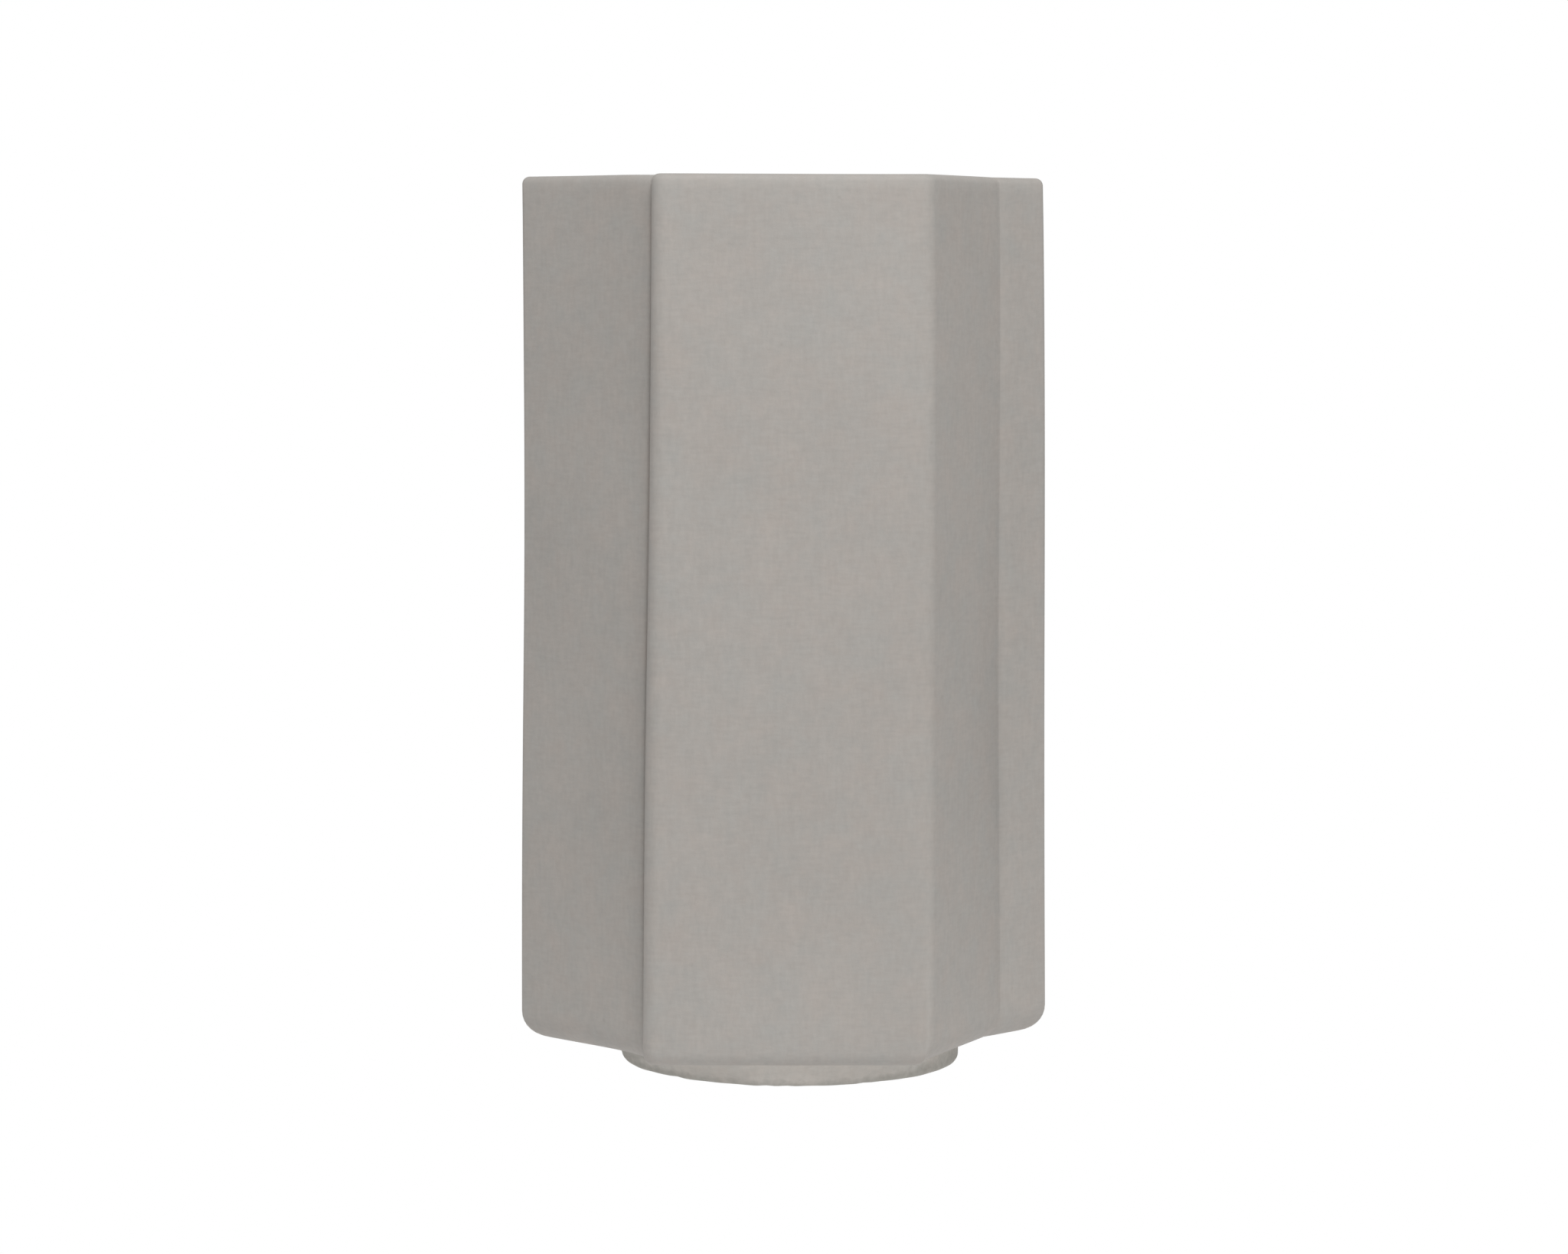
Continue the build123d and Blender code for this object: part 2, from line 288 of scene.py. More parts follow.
@cache
def worn_and_shaded_edge() -> bpy.types.NodeTree:
    """Rubbed edges, and the painted shadow along the foot's lower rim: the edge value, broken up by noise and
    sharpened.

    Returns:
        The group, with a place, the edge value and the break-up's scale going in.
    """
    sheet, given, result = new_group("worn_and_shaded_edge", ("Edge", "Scale"), ("Wear And Shade",))
    broken = sheet.noise(given["Place"], given["Scale"], 3.0, 0.6)
    lifted = sheet.math("ADD", given["Edge"], sheet.math("SUBTRACT", broken, 0.5))
    sheet.feed(result, {"Wear And Shade": sheet.spread(lifted, *WEAR_AND_SHADE_SPAN, 0.0, 1.0)})
    return sheet.tree


@cache
def handled_surface() -> bpy.types.NodeTree:
    """Handling marks: soft smudges with a fine grain over them.

    Returns:
        The group, with a place and the scales of the smudges and the grain going in.
    """
    sheet, given, result = new_group("handled_surface", ("Smudge Scale", "Grain Scale"), ("Smudge", "Grain"))
    smudge = sheet.noise(given["Place"], given["Smudge Scale"], 3.0, 0.55)
    grain = sheet.noise(given["Place"], given["Grain Scale"], 2.0, 0.6)
    sheet.feed(result, {"Smudge": smudge, "Grain": grain})
    return sheet.tree


# Finishes


@dataclass(frozen=True)
class Finish:
    """Finish of one material slot, made into a material on its first use."""

    name: str
    slot: Slot

    def material(self) -> bpy.types.Material:
        """Makes the material, or finds it.

        Returns:
            The material, whose Principled shader takes what the finish's sockets method gives.
        """
        if self.name not in bpy.data.materials:
            sheet = NodeSheet.cleared(bpy.data.materials.new(self.name))
            shader = sheet.add("ShaderNodeBsdfPrincipled", self.sockets(sheet))
            sheet.add("ShaderNodeOutputMaterial", {"Surface": shader.outputs[0]})
        return bpy.data.materials[self.name]

    def sockets(self, sheet: NodeSheet) -> dict[str, Any]:
        """Value or source, laid on the material's sheet, for each shader input that the finish sets."""
        raise NotImplementedError


@dataclass(frozen=True)
class StonewareFinish(Finish):
    """Matt stoneware: drifting warm grey, faint patches, fine grain, rubbed edges, painted shade in the folds,
    glazed inside; on the foot, a painted contact shadow along the lower rim.
    """

    clay: Colour
    warm: Colour
    cool: Colour
    speck: Colour = (0.15, 0.12, 0.10)
    # colour of rubbed edges; on the foot, the colour of the painted contact shadow along the lower rim
    worn_and_shaded: Colour = (0.50, 0.48, 0.45)
    glaze: Colour = (0.56, 0.54, 0.505)
    drift_share: float = 0.85  # share of the warm and cool drift in the clay's colour
    patch_depth: float = 0.07  # share of brightness between the darkest and palest patch
    tool_depth: float = 0.09
    painted_shade_depth: float = 0.1  # how much darker the colour is under the full painted shade in the folds
    # depth of the rubbed colour, and on the foot of the painted contact shadow
    wear_and_shade_depth: float = 0.2
    wear_and_shade_scale: float = 260.0
    speck_depth: float = 0.1
    speck_scale: float = 210.0
    grain_scale: float = 1500.0
    grain_height: float = 0.00006
    roughness: float = 0.78
    roughness_swing: float = 0.06
    glaze_cover: float = 0.75
    glazed_roughness: float = 0.34
    glazed_swing: float = 0.05
    glazed_grain: float = 0.25  # share of the grain's height that shows through the glaze
    bump_strength: float = 0.6
    gloss: float = 0.3

    def sockets(self, sheet: NodeSheet) -> dict[str, Any]:
        """Lays the stoneware, with the glaze only where the mesh is marked as inside.

        Args:
            sheet: the material's sheet.

        Returns:
            Value or source for each shader input.
        """
        place, inside, edge = sheet.place(), sheet.mark(Mark.INSIDE), sheet.mark(Mark.EDGE)
        scales = {"Grain Scale": self.grain_scale, "Speck Scale": self.speck_scale}
        body = sheet.group(fired_clay(), {"Place": place, **scales})
        wear_and_shade = sheet.group(worn_and_shaded_edge(), {"Place": place, "Edge": edge, "Scale": self.wear_and_shade_scale})["Wear And Shade"]
        drift = sheet.spread(body["Warmth"], *NOISE_SPAN, 0.0, 1.0)
        clouded = sheet.mix(self.drift_share, self.clay, sheet.mix(drift, self.cool, self.warm))
        patched = sheet.sway(body["Patch"], 1.0, self.patch_depth / 2)
        tooled = sheet.sway(body["Tooling"], 1.0, self.tool_depth / 2, TOOL_SPAN)
        # painted shade: darkens the colour in the crease and beside the lap
        painted_shade = sheet.spread(sheet.mark(Mark.PAINTED_SHADE), 0.0, 1.0, 1.0, 1.0 - self.painted_shade_depth)
        level = sheet.math("MULTIPLY", sheet.math("MULTIPLY", patched, tooled), painted_shade)
        # mixes in the rubbed colour on the wall's edges, and the painted contact shadow along the foot's rim
        worn_and_shaded = sheet.mix(sheet.math("MULTIPLY", wear_and_shade, self.wear_and_shade_depth), sheet.scaled(clouded, level), self.worn_and_shaded)
        specked = sheet.mix(sheet.math("MULTIPLY", body["Specks"], self.speck_depth), worn_and_shaded, self.speck)
        glazed = sheet.mix(inside, specked, sheet.mix(self.glaze_cover, specked, self.glaze))
        dry = sheet.sway(body["Grain"], self.roughness, self.roughness_swing)
        wet = sheet.sway(body["Patch"], self.glazed_roughness, self.glazed_swing)
        raised = sheet.math("SUBTRACT", sheet.math("ADD", body["Grain"], body["Tooling"]), body["Specks"])
        height = sheet.math("MULTIPLY", raised, sheet.spread(inside, 0.0, 1.0, 1.0, self.glazed_grain))
        return {
            "Base Color": glazed,
            "Roughness": sheet.spread(inside, 0.0, 1.0, dry, wet),
            "Normal": sheet.bump(height, self.grain_height, self.bump_strength),
            "Specular IOR Level": self.gloss,
        }


@dataclass(frozen=True)
class MetalFinish(Finish):
    """Bare or plated metal: lines along the way that it was drawn or turned, and handling smudges."""

    colour: Colour
    tint: Colour
    roughness: float
    stretch: Point
    line_scale: float = 900.0
    line_height: float = 0.00003
    streak_width: float = 6.0  # width of a streak of light and dark, to that of a line
    smudge_scale: float = 70.0
    smudge_span: Span = (0.35, 0.7)  # smudge at which the tint starts and is full
    streak_levels: Span = (0.9, 1.06)
    uneven_span: Span = (0.7, 1.3)  # grain and smudge together, at the least and the most roughness
    roughness_swing: Span = (-0.08, 0.1)
    bump_strength: float = 0.5

    def sockets(self, sheet: NodeSheet) -> dict[str, Any]:
        """Lays the metal, its lines on stretched coordinates and its smudges on even ones.

        Args:
            sheet: the material's sheet.

        Returns:
            Value or source for each shader input.
        """
        lines, marks = (
            sheet.group(
                handled_surface(),
                {"Place": sheet.place(stretch), "Smudge Scale": scale, "Grain Scale": self.line_scale},
            )
            for stretch, scale in ((self.stretch, self.line_scale / self.streak_width), (EVEN, self.smudge_scale))
        )
        tinted = sheet.mix(sheet.spread(marks["Smudge"], *self.smudge_span, 0.0, 1.0), self.colour, self.tint)
        uneven = sheet.math("ADD", lines["Grain"], marks["Smudge"])
        roughness = (self.roughness + swing for swing in self.roughness_swing)
        return {
            "Base Color": sheet.scaled(tinted, sheet.spread(lines["Smudge"], *NOISE_SPAN, *self.streak_levels)),
            "Roughness": sheet.spread(uneven, *self.uneven_span, *roughness),
            "Normal": sheet.bump(lines["Grain"], self.line_height, self.bump_strength),
            "Metallic": 1.0,
        }


@dataclass(frozen=True)
class MouldedFinish(Finish):
    """Moulded rubber, silicone or nylon: a fine skin texture, with a pale bloom in soft patches."""

    colour: Colour
    bloom: Colour
    roughness: float
    grain_scale: float = 1400.0
    grain_height: float = 0.00008
    bloom_scale: float = 130.0
    bloom_span: Span = (0.4, 0.75)  # smudge at which the bloom starts and is full
    roughness_swing: Span = (-0.06, 0.08)
    bump_strength: float = 0.6
    see_through: float = 0.0
    see_depth: float = 0.002

    def sockets(self, sheet: NodeSheet) -> dict[str, Any]:
        """Lays the moulded skin.

        Args:
            sheet: the material's sheet.

        Returns:
            Value or source for each shader input.
        """
        scales = {"Smudge Scale": self.bloom_scale, "Grain Scale": self.grain_scale}
        skin = sheet.group(handled_surface(), {"Place": sheet.place(), **scales})
        bloomed = sheet.spread(skin["Smudge"], *self.bloom_span, 0.0, 1.0)
        roughness = (self.roughness + swing for swing in self.roughness_swing)
        return {
            "Base Color": sheet.mix(bloomed, self.colour, self.bloom),
            "Roughness": sheet.spread(skin["Smudge"], *NOISE_SPAN, *roughness),
            "Normal": sheet.bump(skin["Grain"], self.grain_height, self.bump_strength),
            "Subsurface Weight": self.see_through,
            "Subsurface Scale": self.see_depth,
        }


STONEWARE = StonewareFinish(
    name="warm_grey_stoneware",
    slot=Slot.STONEWARE,
    clay=(0.389, 0.366, 0.341),
    warm=(0.402, 0.366, 0.3365),
    cool=(0.378, 0.366, 0.3455),
)
# The foot's clay is paler than the wall's, partly as bare clay and partly as painted light standing in for the light
# that reaches the foot under the overhang.
FOOT_STONEWARE = StonewareFinish(
    name="bare_foot_stoneware",
    slot=Slot.FOOT,
    clay=(0.49, 0.46, 0.426),
    warm=(0.506, 0.466, 0.426),
    cool=(0.47, 0.455, 0.426),
    # painted contact shadow along the lower rim, and painted shade over the clay smear on the left
    worn_and_shaded=(0.23, 0.226, 0.20),
    patch_depth=0.1,
    wear_and_shade_depth=0.6,
    wear_and_shade_scale=420.0,
    speck_depth=0.35,
    speck_scale=330.0,
    grain_scale=1100.0,
    grain_height=0.00014,
    roughness=0.88,
)
BAR_ALUMINIUM = MetalFinish(
    "extruded_aluminium", Slot.ALUMINIUM, (0.72, 0.72, 0.73), (0.66, 0.665, 0.68), 0.36, (0.03, 1.0, 1.0)
)
STAINLESS = MetalFinish(
    "satin_stainless", Slot.STAINLESS, (0.60, 0.595, 0.585), (0.55, 0.54, 0.53), 0.28, (1.0, 0.1, 1.0)
)
ZINC_PLATE = MetalFinish(
    "zinc_plated_steel",
    Slot.ZINC,
    (0.62, 0.64, 0.67),
    (0.64, 0.61, 0.53),
    0.34,
    (1.0, 0.3, 1.0),
    smudge_scale=220.0,
)
BLACK_RUBBER = MouldedFinish(
    "black_rubber_skin", Slot.RUBBER, (0.022, 0.022, 0.023), (0.045, 0.044, 0.043), 0.72
)
PAD_SILICONE = MouldedFinish(
    "milky_silicone", Slot.SILICONE, (0.70, 0.70, 0.68), (0.76, 0.755, 0.73), 0.5, see_through=0.3
)
PLUG_NYLON = MouldedFinish(
    "grey_nylon", Slot.NYLON, (0.44, 0.45, 0.46), (0.50, 0.505, 0.51), 0.55, grain_height=0.00005
)


# Meshes

SHARP_FOLD = math.radians(40)  # faces that meet at more than this have a sharp edge
FLAT_FOLD = math.radians(3)  # triangles that meet at less than this lie in one face
POLE_WELD = 1e-7  # points nearer than this lie in one pole
NODE_WELD = 0.00001  # corners of a CAD node's triangles nearer than this are one


@dataclass
class SkinGrid:
    """Points of a closed skin, rows by columns, each row a closed ring of points.

    A row whose points all lie together is a pole. A skin that wraps also joins its last row to its first.
    """

    points: np.ndarray
    wraps: bool = False
    marks: dict[Mark, np.ndarray] = field(default_factory=dict)

    def cells(self) -> np.ndarray:
        """Corners of the grid's cells: each point with its neighbours along the ring and in the next row.

        Returns:
            Indices of points, cells by 4.
        """
        rows, columns = self.points.shape[:2]
        here = np.arange(rows * columns).reshape(rows, columns)
        along = np.roll(here, -1, axis=1)
        cells = np.stack([here, along, np.roll(along, -1, axis=0), np.roll(here, -1, axis=0)], axis=-1)
        return (cells if self.wraps else cells[:-1]).reshape(-1, 4)

    def piece(self, name: str, sharp_above: float = SHARP_FOLD) -> bpy.types.Object:
        """Makes the mesh, welds its poles, turns its faces outwards and shades it.

        Args:
            name: the new object's name.
            sharp_above: angle between faces, in radians, above which their edge stays sharp.

        Returns:
            The object, at the origin.
        """
        mesh = bpy.data.meshes.new(name)
        mesh.from_pydata(self.points.reshape(-1, 3), [], self.cells())
        for mark, values in self.marks.items():
            kept = mesh.attributes.new(mark.value, "FLOAT", "POINT")
            kept.data.foreach_set("value", values.astype(np.float32).ravel())
        sheet = bmesh.new()
        sheet.from_mesh(mesh)
        bmesh.ops.remove_doubles(sheet, verts=sheet.verts, dist=POLE_WELD)
        if sheet.calc_volume(signed=True) < 0.0:
            bmesh.ops.reverse_faces(sheet, faces=sheet.faces)
        sheet.to_mesh(mesh)
        sheet.free()
        mesh.polygons.foreach_set("use_smooth", np.ones(len(mesh.polygons), dtype=bool))
        mesh.set_sharp_from_angle(angle=sharp_above)
        piece = bpy.data.objects.new(name, mesh)
        bpy.context.scene.collection.objects.link(piece)
        return piece


def settle(piece: bpy.types.Object, finish: Finish, body: Body, *nodes: str) -> None:
    """Dresses a new piece, puts it on its body and hides the CAD nodes that it stands for.

    Args:
        piece: the new piece.
        finish: its finish.
        body: CAD body that it rides on.
        nodes: names of the CAD nodes.
    """
    piece.data.materials.append(finish.material())
    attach(piece, body.value)
    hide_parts(*nodes)
    log.info("%s: %d faces in %s on %s", piece.name, len(piece.data.polygons), finish.name, body.value)


def dress_node(node: str, finish: Finish, edge_break: float) -> None:
    """Gives a CAD node that stays its finish, joins its loose triangles into flat faces and breaks its edges.

    Args:
        node: the node's name.
        finish: its finish.
        edge_break: width of the bevel along its edges.
    """
    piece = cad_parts[node]
    piece.data.materials.clear()
    piece.data.materials.append(finish.material())
    bevel = {"width": edge_break, "segments": 2, "limit_method": "ANGLE", "angle_limit": SHARP_FOLD}
    steps = (
        ("joined_faces", "WELD", {"merge_threshold": NODE_WELD}),
        ("flat_faces", "DECIMATE", {"decimate_type": "DISSOLVE", "angle_limit": FLAT_FOLD}),
        ("broken_edges", "BEVEL", bevel),
    )
    for name, kind, settings in steps:
        modifier = piece.modifiers.new(name, kind)
        for key, value in settings.items():
            setattr(modifier, key, value)
    log.info("%s: CAD node in %s", node, finish.name)


def turned(radius: np.ndarray, along: np.ndarray, columns: int) -> Turned:
    """Lays a profile round an axis, ready to be shaped by angle.

    Args:
        radius: distance from the axis for each point of the profile.
        along: distance along the axis for each point of the profile.
        columns: points round the axis.

    Returns:
        Radius, distance along the axis and angle, each as an array of profile points by columns.
    """
    angle = np.arange(columns) * (FULL_TURN / columns)
    radius, angle = np.meshgrid(radius, angle, indexing="ij")
    return radius, np.broadcast_to(along[:, None], radius.shape), angle


def off_nearest(angle: np.ndarray, period: float) -> np.ndarray:
    """Angle from the nearest multiple of a period."""
    return (angle + period / 2) % period - period / 2


def hexagon(angle: np.ndarray, across_flats: float) -> np.ndarray:
    """Radius of a hexagon at each angle: half the width over flats, over the cosine to the nearest flat's middle."""
    return across_flats / 2 / np.cos(off_nearest(angle, FULL_TURN / 6))


def bump_at(distance: np.ndarray, width: float) -> np.ndarray:
    """Bell curve of height 1 round distance 0."""
    return np.exp(-((distance / width) ** 2))


def waves(table: Waves, turn: np.ndarray, down: np.ndarray | float = 0.0) -> np.ndarray:
    """Sum of height sin(round turn + fall down + phase), over the rows of a table."""
    return sum(height * np.sin(around * turn + fall * down + phase) for height, around, fall, phase in table)


def quarter_round(radius: float, rows: int) -> tuple[np.ndarray, np.ndarray]:
    """Quarter arc from a wall on to a face: inset r (1 - cos a) with drop r (1 - sin a)."""
    arc = np.linspace(0, QUARTER_TURN, rows)
    return radius * (1 - np.cos(arc)), radius * (1 - np.sin(arc))


def unit(vectors: np.ndarray) -> np.ndarray:
    """Vectors scaled to length 1."""
    return vectors / np.linalg.norm(vectors, axis=-1, keepdims=True)


def tangents(outline: np.ndarray) -> np.ndarray:
    """Way that a closed outline goes at each point, from the point before to the point after."""
    return unit(np.roll(outline, -1, axis=-2) - np.roll(outline, 1, axis=-2))


def run_along(outline: np.ndarray) -> tuple[np.ndarray, np.ndarray]:
    """Distance of each point along its closed outline, and each outline's whole length."""
    steps = np.linalg.norm(np.roll(outline, -1, axis=-2) - outline, axis=-1)
    return np.cumsum(steps, axis=-1) - steps, steps.sum(axis=-1, keepdims=True)


def meeting_points(normals: np.ndarray, offsets: np.ndarray) -> np.ndarray:
    """Points where each line meets the next one round, by Cramer's rule.

    Args:
        normals: the lines' normals, lines by 2.
        offsets: the lines' distances from the origin along their normals, levels by lines.

    Returns:
        Points, levels by lines by 2.
    """
    after, offsets_after = np.roll(normals, -1, axis=0), np.roll(offsets, -1, axis=1)
    across = normals[:, 0] * after[:, 1] - normals[:, 1] * after[:, 0]
    x = (offsets * after[:, 1] - offsets_after * normals[:, 1]) / across
    y = (normals[:, 0] * offsets_after - after[:, 0] * offsets) / across
    return np.stack([x, y], axis=-1)


# Vessel


@dataclass
class SlabSide:
    """Levels on one side of the wall slab."""

    drop: np.ndarray  # distance below the rim
    inset: np.ndarray  # distance inwards from the outer faces
    within: bool  # True for the inside, where a chamfer takes the place of the seam's step


@dataclass
class WallRings:
    """Closed outlines of the wall at all its levels."""

    outline: np.ndarray  # plan points, levels by columns by 2
    drop: np.ndarray  # distance below the rim, for each level
    within: np.ndarray  # True for each level on the inside

    def __post_init__(self) -> None:
        """Measures the distance of each point along its outline, and each outline's whole length."""
        self.along, self.length = run_along(self.outline)

    def past(self, column: int) -> np.ndarray:
        """Distance of each point along its outline, past the point in one column."""
        return self.along - self.along[:, column, None]


@dataclass
class FoldedPlan:
    """Plan of the folded wall, at the rim unless a field says otherwise.

    Its faces run round from the left wing over the lapped seam, front panel, return, cheek, right side and
    back to the left side. A face is a line in plan with an outward bearing, a point that it passes through
    and a growth outwards from rim to underside.
    """

    height: float = 0.2324
    half_width: float = 0.0699
    depth: float = 0.100
    back_y: float = -0.0105
    flare: float = 0.0012
    right_flare: float = 0.0015
    seam_x: float = -0.0339
    seam_lean: float = 0.0033
    seam_bow: float = 0.0005  # how far the seam swings to the left at half height
    lap_step: float = 0.0074
    lap_undercut: float = math.radians(1)
    lap_rounding: float = 0.5  # share of the base's rounding that the lap's edge takes
    wing_angle: float = math.radians(45)
    front_right_x: float = 0.0382
    return_angle: float = math.radians(64.6)
    crease_x: float = 0.0576
    cheek_angle: float = math.radians(45)
    nose_radius: float = 0.0034
    nose_swell: float = 0.0011  # how much wider the nose's rounding is at half height
    fold_radius: float = 0.0025
    front_fold_radius: float = 0.0042
    lap_crease_radius: float = 0.0005
    crease_radius: float = 0.008
    back_corner_radius: float = 0.009
    least_radius: float = 0.0006
    base_softness: tuple[float, ...] = (0, 0, 0.3, 0, 0.7, 0.7, 0.7, 1.0)  # corner's opening per inset at the base
    wall_thickness: float = 0.006
    inside_radius: float = 0.0025
    inside_chamfer: float = 0.0006
    arc_points: int = 11
    side_points: tuple[int, ...] = (8, 36, 26, 14, 24, 40, 24, 30)

    def face_lines(self, side: SlabSide) -> tuple[np.ndarray, np.ndarray]:
        """Lines of the faces in plan, as normal . point = offset.

        Args:
            side: levels on one side of the slab.

        Returns:
            Normals, faces by 2, and offsets, levels by faces.
        """
        drop, inset = side.drop, side.inset
        looks_front = 3 * QUARTER_TURN
        front_y = self.back_y - self.depth
        crease_y = front_y + (self.crease_x - self.front_right_x) * math.tan(self.return_angle)
        wing = looks_front - self.wing_angle
        seam = (wing + looks_front) / 2 if side.within else math.pi - self.lap_undercut
        faces = np.array(
            [
                (wing, self.seam_x, front_y + self.lap_step, self.flare),
                (seam, self.seam_x, front_y + self.nose_radius, self.seam_lean),
                (looks_front, 0.0, front_y, self.flare),
                (looks_front + self.return_angle, self.front_right_x, front_y, self.flare),
                (looks_front + self.cheek_angle, self.crease_x, crease_y, self.flare),
                (0.0, self.half_width, 0.0, self.right_flare),
                (QUARTER_TURN, 0.0, self.back_y, 0.0),
                (math.pi, -self.half_width, 0.0, self.flare),
            ]
        )
        bearings, points, growth = faces[:, 0], faces[:, 1:3], faces[:, 3]
        normals = np.stack([np.cos(bearings), np.sin(bearings)], axis=-1)
        offsets = (normals * points).sum(axis=-1) + np.outer(drop / self.height, growth) - inset[:, None]
        bowed = self.seam_bow * np.sin(math.pi * drop / self.height) ** 2
        offsets[:, Face.LAP_EDGE] += bowed + (1 - self.lap_rounding) * inset * (drop > self.height / 2)
        if side.within:
            joined = [Face.WING, Face.FRONT]
            corner = meeting_points(normals[joined], offsets[:, joined])[:, 0]
            offsets[:, Face.LAP_EDGE] = corner @ normals[Face.LAP_EDGE] - self.inside_chamfer
        return normals, offsets

    def radii(self, side: SlabSide) -> np.ndarray:
        """Rounding of each corner.

        As the outline moves in, inward corners open up by the inset. Outward corners tighten by it over the
        lip, and open up by a share of it round the base, where they were sponged over.

        Args:
            side: levels on one side of the slab.

        Returns:
            Radii, levels by corners.
        """
        drop, inset = side.drop, side.inset
        inner, fold, back = self.inside_radius, self.fold_radius, self.back_corner_radius
        if side.within:
            radii = np.array([2 * inner, 2 * inner, *[inner] * 6]) + (self.wall_thickness - inset)[:, None]
        else:
            base = np.array([0.0, self.nose_radius, self.front_fold_radius, 0.0, fold, back, back, fold])
            at_base = (drop > self.height / 2)[:, None]
            radii = base + np.where(at_base, self.base_softness, -1.0) * inset[:, None]
            radii[:, Corner.LAP] = self.lap_crease_radius + inset
            radii[:, Corner.NOSE] += self.nose_swell * np.sin(math.pi * drop / self.height)
        radii[:, Corner.CREASE] = self.crease_radius + inset
        return np.maximum(radii, self.least_radius)

    def outline(self, side: SlabSide) -> np.ndarray:
        """Closed outlines, with the same columns at every level.

        A corner's arc has its middle on the bisector, radius / cos(half the turn) from the corner, and the
        straight runs between arcs have their points crowded towards the arcs.

        Args:
            side: levels on one side of the slab.

        Returns:
            Plan points, levels by columns by 2.
        """
        normals, offsets = self.face_lines(side)
        corners = meeting_points(normals, offsets)
        came = unit(corners - np.roll(corners, 1, axis=1))
        goes = unit(np.roll(corners, -1, axis=1) - corners)
        half_turn = np.arccos(np.clip((came * goes).sum(axis=-1), -1.0, 1.0)) / 2
        radius = self.radii(side)[..., None, None]
        inwards = unit(goes - came)[:, :, None]
        onwards = unit(goes + came)[:, :, None]
        swing = half_turn[..., None, None] * np.linspace(-1, 1, self.arc_points)[:, None]
        middle = corners[:, :, None] + inwards * radius / np.cos(half_turn)[..., None, None]
        arcs = middle - inwards * radius * np.cos(swing) + onwards * radius * np.sin(swing)
        starts, ends = arcs[:, :, -1], np.roll(arcs, -1, axis=1)[:, :, 0]
        runs = []
        for corner, count in enumerate(self.side_points):
            share = (1 - np.cos(np.linspace(0, math.pi, count + 2)[1:-1])) / 2
            start, end = starts[:, corner, None], ends[:, corner, None]
            runs += [arcs[:, corner], start + (end - start) * share[:, None]]
        return np.concatenate(runs, axis=1)

    def apexes(self, *corners: Corner) -> np.ndarray:
        """Columns of the named corners' middles."""
        blocks = self.arc_points + np.array(self.side_points)
        return (np.cumsum(blocks) - blocks + self.arc_points // 2)[list(corners)]


